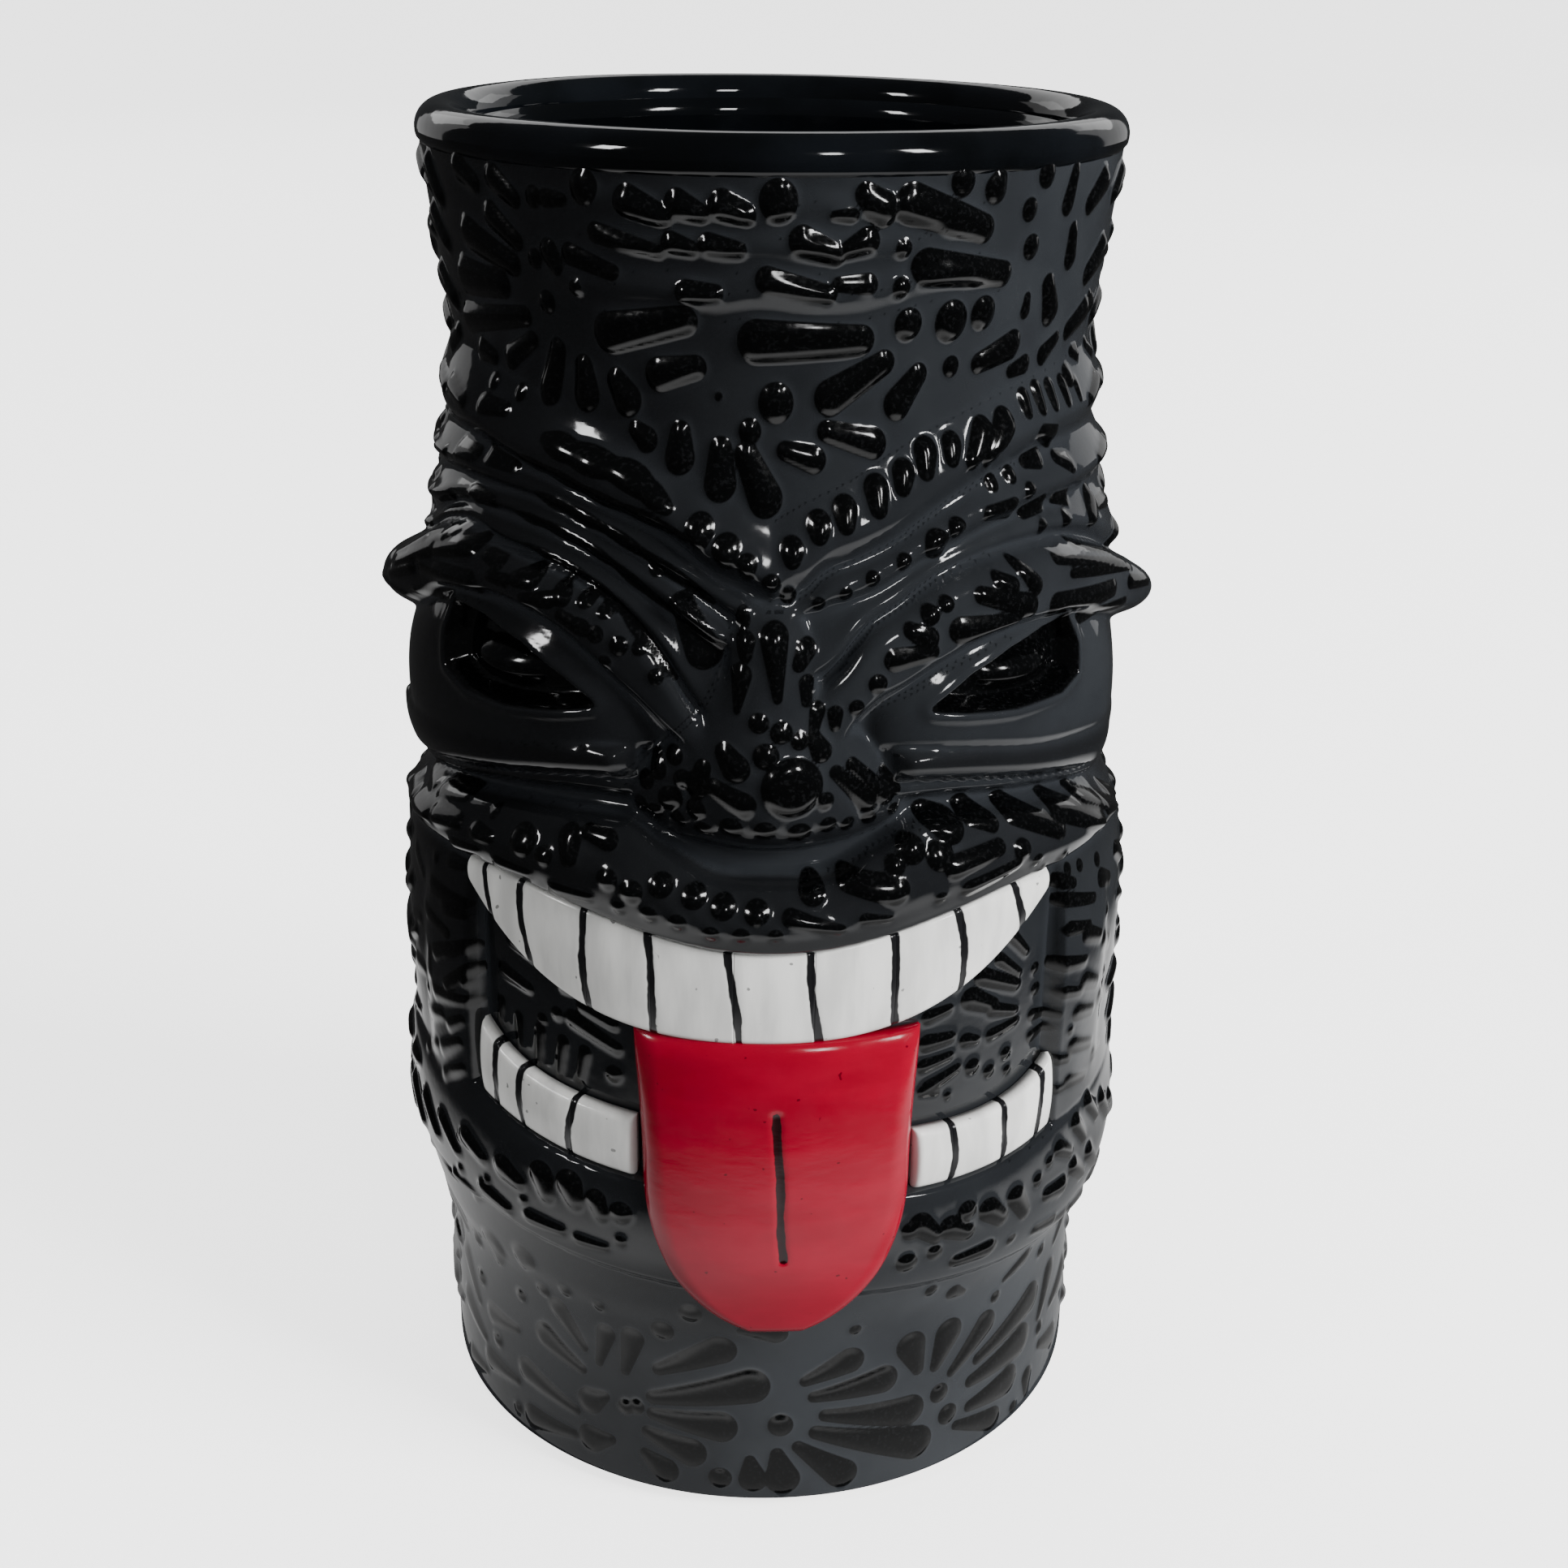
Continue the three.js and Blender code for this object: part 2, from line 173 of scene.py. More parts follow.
# Lines of the brow folds on each side of the face, from the middle outwards: (angle, height).
FOLD_LINES = {
    1: {
        "one": [
            (0, 130.5), (5.5, 132.5), (10.5, 134), (18.5, 137), (31.5, 140.5), (48.5, 143), (70, 144.5),
            (118, 144.5),
        ],
        "two": [
            (0, 121), (4.5, 122.5), (8, 124.5), (12, 125.5), (19, 127.5), (24, 129.5), (31.5, 132),
            (39, 133.5), (60, 135), (118, 134.5),
        ],
        "three": [
            (0, 118.5), (7, 120.5), (15, 122), (23.5, 125), (32.5, 127), (45, 128.5), (60, 128.5),
            (90, 127.5), (118, 127),
        ],
        "brow_top": [
            (0, 110), (10, 115), (12, 117), (19, 120.5), (25, 123), (32.5, 124.5), (40.5, 125),
            (52, 124.5), (61.5, 122.5), (72, 119.5), (80, 117), (88, 115), (95, 113.5),
        ],
        "brow_low": [
            (0, 100), (9, 104), (11.5, 107), (14, 109), (19, 111), (24, 113), (30.5, 115), (38, 116),
            (45, 116), (52, 115), (62, 113), (72, 111), (80, 110), (88, 110.5), (95, 112),
        ],
    },
    -1: {
        "one": [
            (0, 130.5), (5, 132), (10.5, 134), (18.5, 136.5), (27.5, 138.5), (39.5, 141), (58.5, 143.5),
            (80, 144.5), (118, 144.5),
        ],
        "two": [
            (0, 121), (4.5, 123), (8.5, 124), (17, 128), (25.5, 130), (35, 132), (45, 133), (60, 134.5),
            (118, 134.5),
        ],
        "three": [
            (0, 118.5), (7, 120), (10.5, 122), (17, 124.5), (23, 126.5), (31, 128.5), (36.5, 129.5),
            (50, 130), (66, 129.5), (90, 127.5), (118, 127),
        ],
        "four": [
            (0, 113), (9, 117), (17, 121), (26, 124.5), (30, 125.5), (37.5, 127), (50, 127.5),
            (62, 126.5), (72, 124), (88, 121.5),
        ],
        "brow_top": [
            (0, 104), (10.5, 109.5), (12, 111), (16, 115.5), (22.5, 120), (27.5, 122), (31.5, 123),
            (38.5, 124), (46, 124.5), (54, 125.5), (62, 124.5), (72, 121.5), (80, 119.5), (88, 116.5),
            (95, 114.5),
        ],
        "brow_low": [
            (0, 100), (10, 103), (16.5, 107), (18.5, 108.5), (22.5, 111), (27.5, 114), (33.5, 116.5),
            (38, 117.5), (44, 118), (50, 117.5), (59.5, 116), (66, 113.5), (76, 111), (82, 110.5),
            (88, 111), (95, 112.5),
        ],
    },
}


# On the viewer's right there is no fourth fold, so its upper line is the brow's.
FOLD_LINES[1]["four"] = FOLD_LINES[1]["brow_top"]


def fold(sign, upper, lower, rise, lip):
    """A fold of clay whose lower edge rolls over the next one, like a shingle."""
    top = curve(FOLD_LINES[sign][upper])(SIDE)
    low = curve(FOLD_LINES[sign][lower])(SIDE)
    here = (ANG * sign >= 0) & (Z < top) & (Z > low)
    v = (top - Z) / np.maximum(top - low, 0.3)
    underside = clamp((Z - low) / lip) ** 0.85
    shape = (0.16 + 0.84 * step(v, -0.05, 0.72)) * underside * round_shoulder(top - Z, 0.6)
    return np.where(here, rise * shape, 0.0), here


def lay(height, blend):
    global folds
    folds = smooth_max(folds, height, blend)


def outline_depth(points):
    """How deep inside a closed outline each place lies, in mm; negative outside."""
    closed = points + points[:1]
    distance = distance_to_line(closed)
    inside = np.zeros(ANG.shape, bool)
    for (a0, z0), (a1, z1) in zip(closed, closed[1:]):
        spans = (z0 > Z) != (z1 > Z)
        crossing = a0 + (Z - z0) * (a1 - a0) / (z1 - z0 if z1 != z0 else 1e-9)
        inside ^= spans & (ANG < crossing)
    return np.where(inside, distance, -distance)


CHEVRON_END = 104
BROW_START = 9
BROW_END = 95
LIP_END = 92

fade_back = 1.0 - step(SIDE, 88, 114)
side_calm = 1.0 - np.where(ANG > 0, 0.3, 0.5) * step(SIDE, 55, 85)
fold_parts = []
for sign, side in ((-1, "left"), (1, "right")):
    lip = {-1: 0.75, 1: 1.0}[sign]
    one, where_one = fold(sign, "one", "two", 2.3, 3.4 * lip)
    two, where_two = fold(sign, "two", "three", 2.4, 2.8 * lip)
    three, where_three = fold(sign, "three", "four", 2.4, 2.4 * lip)
    last, where_last = fold(sign, "four", "brow_top", 2.2, 1.3 * lip)
    for height in (one, two, three, last):
        lay(height * fade_back * side_calm, 0.12)
    fold_parts.append((f"chevron_upper_{side}", where_one & (SIDE < CHEVRON_END)))
    lower_folds = where_two | where_three | where_last
    fold_parts.append((f"chevron_lower_{side}", lower_folds & (SIDE < CHEVRON_END)))

    # The brow itself, which swells into a blunt horn at the side.
    top = curve(FOLD_LINES[sign]["brow_top"])(SIDE)
    low = curve(FOLD_LINES[sign]["brow_low"])(SIDE)
    across = (Z - low) / np.maximum(top - low, 0.5)
    on_brow = (across > 0) & (across < 1) & (ANG * sign > 0)
    flat_body = clamp((Z - low) / 2.0) ** 0.8 * round_shoulder(top - Z, 2.8)
    horn_body = np.sqrt(clamp(1.0 - (2.0 * across - 1.0) ** 2))
    to_horn = step(SIDE, 58, 76)
    body = np.where(on_brow, flat_body * (1 - to_horn) + horn_body * to_horn, 0.0)
    rise = 2.9 + 1.2 * step(SIDE, 18, 40) + 2.1 * step(SIDE, 58, 80)
    end = np.sqrt(clamp(1.0 - clamp((SIDE - (BROW_END - 19.0)) / 19.0) ** 2))
    lay(body * rise * end, 0.3)
    near_brow = (across > -0.02) & (across < 1.02) & (ANG * sign > 0)
    fold_parts.append((f"brow_{side}", near_brow & (SIDE > BROW_START) & (SIDE < BROW_END)))

# Forehead wrinkles: three low shingles whose lower edges wander and look down.
WRINKLE_DEPTH = 3.2
WRINKLES = {
    "upper": ([
        (-34, 159.6), (-26, 159.9), (-17, 158.9), (-9, 159.6), (-3, 159.1), (6, 160.4), (11, 159.8),
        (17, 160.2), (24, 159.2), (34, 159.8),
    ], 0.75),
    "middle": ([
        (-32, 156.4), (-24, 155.5), (-14, 156.0), (-8, 155.6), (-3, 156.3), (4, 155.8), (10, 156.2),
        (18, 156.0), (24, 157.0), (33, 157.2),
    ], 0.75),
    "lower": ([
        (-40, 152.6), (-30, 151.2), (-20, 151.4), (-10, 150.7), (-3, 151.4), (6, 150.8), (14, 151.2),
        (21, 152.2), (29, 153.0), (38, 152.8),
    ], 0.95),
}
for name, (line_points, rise) in WRINKLES.items():
    start, stop = line_points[0][0], line_points[-1][0]
    ends = step(ANG, start, start + 8) * (1 - step(ANG, stop - 8, stop))
    above = Z - curve(line_points)(ANG)
    shape = clamp(above / 2.5) * (1 - step(above, 2.6, 5.4))
    lay(rise * shape * ends, 0.3)
    inside = (above > 0) & (above < WRINKLE_DEPTH) & (ANG > start + 1) & (ANG < stop - 1)
    fold_parts.append((f"forehead_wrinkle_{name}", inside))

# Eyes: a long glossy bulge under each brow, an almond sunk into it with the eyeball in it, and a roll of lid.
ALMONDS = {
    1: [
        (23, 109.5), (29, 112.5), (36, 114.5), (43, 115.6), (49.5, 116), (50, 113), (49, 110),
        (45, 108.6), (36, 108.4), (28, 109),
    ],
    -1: [
        (-26, 109.5), (-31, 112), (-38, 114.6), (-46, 116.2), (-54, 116.4), (-54.5, 113), (-53.5, 109.6),
        (-48, 108), (-40, 107.8), (-32, 108.6),
    ],
}
EYEBALLS = {1: (39, 111.8, 8.5, 2.4), -1: (-43.5, 111.6, 9.0, 2.6)}
eye_parts = []
eye_hollows = np.zeros_like(ANG)
almond_depth = np.full(ANG.shape, -2.0)
painted_dark_band = np.zeros_like(ANG)
for sign, side in ((-1, "left"), (1, "right")):
    shift = {-1: 3.0, 1: 0.0}[sign]
    outer_cut = {-1: 0.2, 1: 2.0}[sign]
    crease = {-1: 0.02, 1: 0.12}[sign]
    a = ANG * sign - shift
    low = curve(FOLD_LINES[sign]["brow_low"])(SIDE)
    lid_top = curve([
        (14, 104.4), (18.5, 104.6), (28.5, 104.0), (42, 102.2), (55.5, 101.0), (66, 100.0), (78, 99.4),
        (90, 99.0),
    ])(a)
    lid_middle = curve([
        (14, 101.2), (20, 100.9), (30, 99.8), (48, 97.0), (64, 94.4), (78, 92.8), (90, 92.2),
    ])(a)
    lid_low = curve([(14, 98.2), (23, 98.2), (38, 96.8), (58, 93.8), (74, 91.4), (90, 90.6)])(a)
    on = (ANG * sign > 0)
    u = clamp((a - 49) / 35, -1, 1)
    v = clamp((Z - lid_top) / np.maximum(low + 1.5 - lid_top, 1.0), 0, 1)
    drawn_in = outer_cut * step(a, 56, 76)
    round_across = clamp(1 - u**4) ** 0.7
    dome = round_across * np.sqrt(clamp(1 - (1.26 * v - 0.34) ** 2))
    dome = dome * (1.0 - crease * (1.0 - step(Z - lid_top, 0.0, 1.2)))
    on_eye = on & (a > 14) & (a < 84) & (Z > lid_top) & (Z < low + 1.5)
    eye = np.where(on_eye, (4.3 - drawn_in) * dome, 0.0)
    depth = outline_depth(ALMONDS[sign])
    eye = eye + 0.45 * np.exp(-((depth + 0.8) / 0.7) ** 2) * on
    lay(np.maximum(eye, 0), 0.25)
    ends = step(a, 15, 20) * (1 - step(a, 78, 90))
    w = (Z - lid_middle) / (lid_top - lid_middle)
    below_crest = clamp(w / 0.06) ** 0.5 * (0.70 + 0.30 * np.sin(0.5 * math.pi * clamp(w / 0.68)))
    above_crest = 1 - crease * clamp((w - 0.68) / 0.32) ** 2
    roll = np.where(on & (w > 0) & (w < 1), below_crest * above_crest, 0.0)
    lay((4.1 - drawn_in) * roll * ends, 0.2)
    # A painted dark reflection: the glaze is darkened along the middle of the roll, where it faces the dark
    # room.
    painted_dark_band = np.maximum(painted_dark_band, np.exp(-((w - 0.72) / 0.34) ** 2) * ends * on)
    w = (Z - lid_low) / (lid_middle - lid_low)
    roll = np.where(on & (w > 0) & (w < 1), np.sqrt(clamp(1 - (2 * w - 1) ** 2)), 0.0)
    lay((1.9 - 0.5 * drawn_in) * roll * ends, 0.2)
    ball_a, ball_z, ball_half, ball_tall = EYEBALLS[sign]
    ball = np.hypot((ANG - ball_a) / ball_half, (Z - ball_z) / ball_tall)
    eye_hollow = 2.9 * step(depth, -0.3, 0.5) - 2.1 * clamp(1 - ball**2) * (depth > 0)
    eye_hollows = np.where(depth > -0.4, eye_hollow, eye_hollows)
    almond_depth = np.maximum(almond_depth, depth)
    eye_parts.append((f"eye_{side}", on & (a > 14) & (a < 85) & (Z > lid_top) & (Z < low)))
    eye_parts.append((f"lower_lid_{side}", on & (a > 15) & (a < 89) & (Z <= lid_top) & (Z > lid_low)))

# Nose: a narrow bridge that swells into a bulb with two wings.
NOSE_MIDDLE = -0.7
NOSE_TOP = 122
off_nose = np.abs(ANG - NOSE_MIDDLE)
nose_half = curve([
    (92, 15), (94, 19.5), (96.5, 21), (99.5, 20.6), (102.5, 18.6), (105, 16), (107.3, 12.6),
    (109.5, 9.6), (114, 6.8), (118, 5.6), (121.5, 3.6),
])(Z)
nose_rise = curve([
    (92, 2.0), (94, 4.4), (97, 5.7), (101, 6.0), (105, 5.4), (110, 4.2), (115, 3.4), (119, 2.6),
    (121.5, 0.8),
])(Z)
across = off_nose / nose_half
tube = 0.60 * np.sqrt(clamp(1 - across**2)) + 0.40 * np.exp(-((off_nose / 9.5) ** 2)) * (across < 1)
nose_bottom = 93.2 + 2.4 * clamp(off_nose / 20) ** 2
on_nose = (across < 1) & (Z > nose_bottom) & (Z < NOSE_TOP)
nose = np.where(on_nose, nose_rise * tube, 0.0) * round_shoulder(Z - nose_bottom, 3.8)
wing_crease = np.exp(-(((off_nose - 11.5 - 0.5 * (101 - Z)) / 1.6) ** 2))
wing_crease = wing_crease * step(Z, 94, 97) * (1 - step(Z, 101, 105))
nose = np.maximum(nose - 0.7 * wing_crease * (nose > 0.8), 0)
lay(nose, 0.5)

# Upper lip: a fat roll from cheek to cheek that dips in the middle.
def lip_bottom(a):
    return 81.4 + 4.6 * step(np.abs(a), 0, 45) - 3.0 * step(np.abs(a), 52, 88)


lip_top = curve([
    (0, 90.6), (8, 91.0), (15, 93.6), (22, 96.4), (34, 95.8), (60, 93.2), (88, 90.2), (118, 88),
])(SIDE)
bottom = lip_bottom(ANG)
v = clamp((Z - bottom) / (lip_top - bottom))
full = 48.2 - (1.0 + 1.3 * (ANG > 0)) * step(SIDE, 45, 88) + 0.5 * (1 - step(SIDE, 6, 26))
at_side = step(SIDE, 52, 78)
upper_share = (v - 0.45 + 0.3 * at_side) / (0.55 + 0.3 * at_side)
draw_in = (2.4 + (2.0 + 0.9 * (ANG > 0)) * at_side) * step(upper_share, 0, 1)
lip_radius = full - 1.1 * (1 - step(v, 0.0, 0.42)) - draw_in
lip = (lip_radius - base) * round_shoulder(Z - bottom, 0.9) * round_shoulder(lip_top - Z, 1.8)
lip_on = (Z > bottom) & (Z < lip_top)
lip_fade = 1 - step(SIDE, 84, 104)
lay(np.where(lip_on, np.maximum(lip, 0) * lip_fade, 0.0), 0.3)

# Lower jaw and lip.
def jaw_tilt(a):
    return -0.055 * clamp(a, -50, 50)


def teeth_floor(a):
    return 49.6 + 2.8 * (np.abs(a) / 49) ** 4 + jaw_tilt(a)


collar = 35.2 - np.where(ANG > 0, 4.4, -1.8) * clamp(SIDE / 81) ** 2 + jaw_tilt(ANG)
lip_crest = teeth_floor(clamp(ANG, -50, 50)) - 0.5
v = clamp((Z - collar) / (lip_crest - collar))
jaw = 1.25 * np.sqrt(clamp(1 - (1.7 * v - 0.75) ** 2)) * round_shoulder(Z - collar, 1.4)
jaw_fade = 1 - step(SIDE, 82, 104)
lay(np.where((Z > collar) & (Z < lip_crest), jaw * jaw_fade, 0.0), 0.3)
under = np.where((Z <= collar) & (Z > collar - 8), 0.9 * (1 - (collar - Z) / 8) ** 2, 0.0)
folds = folds - under * jaw_fade

# Cheek posts beside the open mouth, and the mouth's dark hollow.
mouth_left = -50.6
mouth_right = 49.6
post = np.exp(-(((SIDE - 58) / 7.5) ** 4)) * step(Z, 46, 56) * (1 - step(Z, 78, 86))
lay(0.8 * post, 0.3)

FOLD_SOFTNESS = 0.36
HOLLOW_SOFTNESS = 0.22
PETAL_SOFTNESS = 0.28
radius = base + blur(folds, FOLD_SOFTNESS) - blur(eye_hollows, HOLLOW_SOFTNESS)

mouth_floor = teeth_floor(clamp(ANG, -51, 51)) - 0.2
inside_x = np.minimum(ANG - mouth_left, mouth_right - ANG) * MM_PER_DEGREE
inside_z = np.minimum(Z - mouth_floor, bottom - Z)
hollow_depth = np.minimum(inside_x, inside_z)
hollow = step(hollow_depth, -0.45, 0.55)
HOLLOW_RADIUS = 44.9
radius = radius * (1 - hollow) + HOLLOW_RADIUS * hollow

# ---- raised petals of slip ----

petal_height = np.zeros_like(ANG)
# The eye almonds start out marked as petals, so their hollows take the petals' near-black colour: painted
# shade in the hollows.
petal_and_almond_shade = almond_depth + 0.5


def petal(a0, z0, a1, z1, thin, fat, rise):
    """One drop of slip, from its thin end to its round end; thin and fat are the radii of its ends."""
    pad = fat + 1.2
    low_z, high_z = min(z0, z1) - pad, max(z0, z1) + pad
    rows = np.nonzero((heights > low_z) & (heights < high_z))[0]
    if len(rows) == 0:
        return
    middle = 0.5 * (a0 + a1)
    half = abs(a1 - a0) / 2 + pad / MM_PER_DEGREE
    gap = (angles - middle + 180.0) % 360.0 - 180.0
    cols = np.nonzero(np.abs(gap) < half)[0]
    if len(cols) == 0:
        return
    s = gap[cols][None, :] * MM_PER_DEGREE - (a0 - middle) * MM_PER_DEGREE
    z = heights[rows][:, None] - z0
    dx, dz = (a1 - a0) * MM_PER_DEGREE, z1 - z0
    length = math.hypot(dx, dz)
    if length < 0.05:
        inside = fat - np.hypot(s, z)
    else:
        ux, uz = dx / length, dz / length
        y = s * ux + z * uz
        x = np.abs(z * ux - s * uz)
        b = clamp((thin - fat) / length, -0.98, 0.98)
        c = math.sqrt(1 - b * b)
        k = -b * x + c * y
        side_inside = thin - (c * x + b * y)
        start_inside = thin - np.hypot(x, y)
        end_inside = fat - np.hypot(x, y - length)
        inside = np.where(k < 0, start_inside, np.where(k > c * length, end_inside, side_inside))
    fullness = min(1.35 * rise, 0.46 * fat)
    shape = fullness * (1.0 - (1.0 - clamp(inside / min(fat, 1.6))) ** 2)
    window = np.ix_(rows, cols)
    petal_height[window] = np.maximum(petal_height[window], shape)
    petal_and_almond_shade[window] = np.maximum(petal_and_almond_shade[window], inside)


def dot(a, z, size, rise):
    petal(a, z, a, z, size, size, rise)


# The drops' angles are counted from a mark a little to the side of the middle of the face.
PATTERN_TURN = -1.5


def lay_petals(drops, rise=0.5, spread=1.22, taper=0.72):
    """Drops as the angle and height of the thin end, those of the round end, and the round end's radius."""
    for a0, z0, a1, z1, fat in drops:
        round_end = spread * fat
        petal(a0 + PATTERN_TURN, z0, a1 + PATTERN_TURN, z1, taper * round_end, round_end, rise)


def lay_dots(dots, rise=0.55, spread=1.12):
    """Round drops as angle, height and radius."""
    for a, z, size in dots:
        dot(a + PATTERN_TURN, z, spread * size, rise)


# Forehead, from the rim down to the first fold.
lay_petals([
    (9.5, 162, 12, 162, 0.9), (14, 164, 16.5, 162.5, 2), (33.5, 160, 21, 163, 2.3),
    (35.5, 165, 35, 164, 1.7), (53, 165, 52, 161.5, 1.4), (10, 158, 5, 159.5, 1.7),
    (11.5, 158.5, 14.5, 159.5, 1.5), (38.5, 155, 24, 156.5, 2.1), (55, 158.5, 55.5, 155.5, 1.5),
    (9, 154, 0, 155.5, 1.5), (10.5, 155, 15, 155, 1.2), (50, 153, 52, 150, 1.9), (45, 152, 45, 150.5, 1),
    (36, 145.5, 43, 147, 1.8), (56, 146.5, 52, 145, 1.3), (43.5, 144, 47, 144.5, 1.2),
    (14.5, 149, -1.5, 149, 2.5), (18.5, 146.5, 10, 143, 2.1), (24.5, 145, 21, 142, 1.9),
    (9.5, 139.5, 17, 138, 1.8), (3, 137.5, 7.5, 136.5, 1.6), (-12.5, 151, -25, 149, 2.4),
    (-11, 146, -17, 145, 2), (-35.5, 146.5, -37.5, 142, 1.9), (-30.5, 145, -30, 142, 2),
    (-24.5, 144, -22.5, 142, 2), (-21, 139, -19, 138, 1.5), (-13.5, 139, -13.5, 136.5, 2),
    (-7, 137.5, -7, 134, 2.1), (-3, 137, 0, 132.5, 2.2), (-15, 161.5, -20.5, 163, 1.8),
    (-9.5, 162, -13, 163, 1.6), (-3, 162, -6.5, 163, 1.7), (-41, 162, -45.5, 164, 1.6),
    (-50.5, 163, -55, 164.5, 1.7), (-31.5, 162.5, -34.5, 162.5, 1.1), (-16, 158, -26, 159.5, 1.2),
    (-11, 158.5, -14, 159, 1.3), (-4, 158.5, -8.5, 159, 1.3), (-23.5, 155.5, -31, 157, 1.3),
    (-33.5, 155.5, -35, 157, 1.5), (-7.5, 154, -12, 154, 1.4), (-46.5, 152.5, -58, 152.5, 2.3),
    (-43, 155, -54.5, 157.5, 2), (-41.5, 157.5, -47, 160, 1.6), (-42, 149.5, -60, 147.5, 1.8),
    (-41, 147, -47, 144.5, 1.5), (-52, 144, -56, 144.5, 1.4), (60, 147, 66, 148.5, 1.8),
    (59.5, 161, 64, 163, 1.9), (64, 153, 70, 155, 2.1), (-64, 160.5, -68.5, 163.5, 1.9),
    (-66, 149, -72, 151, 2.1), (-64.5, 155.5, -70, 158, 1.8), (72, 161, 77, 163, 1.7),
    (74, 147, 80, 148.5, 1.7), (-76, 145, -82, 146, 1.7), (-76, 162, -81, 163.5, 1.6),
], 0.58, 1.0)
lay_dots([
    (1.5, 163.5, 2.3), (29, 165, 1.7), (45.5, 165, 1.6), (20, 158.5, 1.1), (44, 157.5, 1.5),
    (20, 154.5, 1.2), (22, 150.5, 1.9), (29.5, 150.5, 2.4), (35.5, 151, 2), (1.5, 142.5, 2.3),
    (-2.5, 139.5, 1.5), (-7.5, 143, 0.6), (-27.5, 164, 2), (-37, 162.5, 1.3), (-38, 156, 1.2),
    (-36.5, 151.5, 1.4), (42.5, 161.5, 1.4), (59.5, 142, 1.4), (-30, 153.5, 1), (-44, 141, 1.1),
    (-51, 141.5, 1.1), (30.5, 145.5, 1.3),
], 0.58, 1.0)

# The folds: on the right a row of beads along the first, with smaller drops below it.
lay_petals([
    (4, 126.5, 4, 127.5, 1.5), (8, 129, 8, 130, 1.6), (12, 130, 12, 131.5, 1.6),
    (17, 131.5, 17, 133.5, 1.6), (21, 133.5, 21.5, 135, 1.5), (25, 135, 25.5, 137, 1.6),
    (29.5, 136, 30, 137.5, 1.4), (33, 135.5, 36, 138.5, 1.6), (36.5, 135.5, 40.5, 139, 1.7),
    (46, 139.5, 46, 141, 1.2), (49.5, 139.5, 49.5, 141.5, 1.2), (53, 139.5, 53, 141.5, 1.1),
    (57, 139.5, 57, 141.5, 1.1), (61.5, 139.5, 61.5, 141, 1), (49, 137, 53, 136, 1.5),
    (54, 133.5, 57, 132.5, 1.2), (46, 134, 49, 134, 1.3), (36, 129.5, 41, 129.5, 1.4),
    (44.5, 128.5, 49, 129, 1.2), (53, 129, 57, 128.5, 1.1), (-9.5, 128.5, -9.5, 129.5, 1.8),
    (-5.5, 126.5, -5.5, 127.5, 1.8), (-2.5, 125, -2.5, 126, 1.3), (-12, 121, -8.5, 116.5, 2.3),
    (-46, 139, -52, 139, 1.2), (-44, 133, -50, 133.5, 1.3), (-54, 133, -60, 133, 1.3),
    (-48, 128.5, -54, 128.5, 1.2), (66, 138.5, 74, 140, 1.3), (78, 139, 88, 139.5, 1.3),
    (70, 131, 80, 131.5, 1.2), (84, 131, 94, 131, 1.2), (68, 126, 78, 125, 1.1),
    (-58, 138.5, -66, 139.5, 1.3), (-70, 138.5, -80, 139.5, 1.3), (-84, 138.5, -94, 139, 1.2),
    (-66, 131.5, -74, 131, 1.2), (-78, 131, -88, 130.5, 1.1), (-62, 127, -70, 126, 1.1),
    (-74, 125.5, -84, 125, 1.1),
], 0.5, 1.0)
lay_dots([
    (38, 132.5, 1.1), (42, 133, 1.1), (45, 131, 1.1), (30, 128.5, 1.3), (26.5, 127, 1.8),
    (21, 125.5, 1.1), (16, 124, 1), (12, 122.5, 0.9), (8, 121.5, 0.9), (54.5, 126.5, 1.1),
    (48, 126.5, 1), (1, 124, 1.2), (-16, 125, 1.3), (3.5, 122.5, 1.1), (-56, 124, 1),
], 0.5, 1.0)


def ridge(line, size, rise=0.45):
    """A long ridge of slip that swells and thins a little as it goes."""
    fine = smooth_line(line, 8 * len(line))
    last = len(fine) - 2
    for k, (p, q) in enumerate(zip(fine, fine[1:])):
        here = size * (1.0 + 0.12 * math.sin(0.7 * k)) * min(1.0, 0.5 + 0.12 * min(k, last - k))
        petal(p[0], p[1], q[0], q[1], here, here, rise)


# On the left the folds carry long wavy ridges in place of the drops.
ridge([(-38, 137.0), (-30, 135.6), (-22, 134.2), (-16, 131.4)], 1.5, 0.6)
ridge([(-44, 134.4), (-36, 133.2), (-28, 131.6), (-20, 130.2), (-13, 128.4)], 0.9, 0.5)
ridge([(-40, 130.6), (-32, 129.4), (-24, 127.6), (-16, 124.8), (-9, 121.6)], 0.9, 0.5)
ridge([(-44, 128.0), (-36, 127.4), (-28, 125.8), (-22, 123.6), (-15, 120.2)], 0.8, 0.45)
ridge([(-40, 125.2), (-32, 123.8), (-26, 122.0), (-20, 118.4), (-14, 113.2)], 0.7, 0.45)

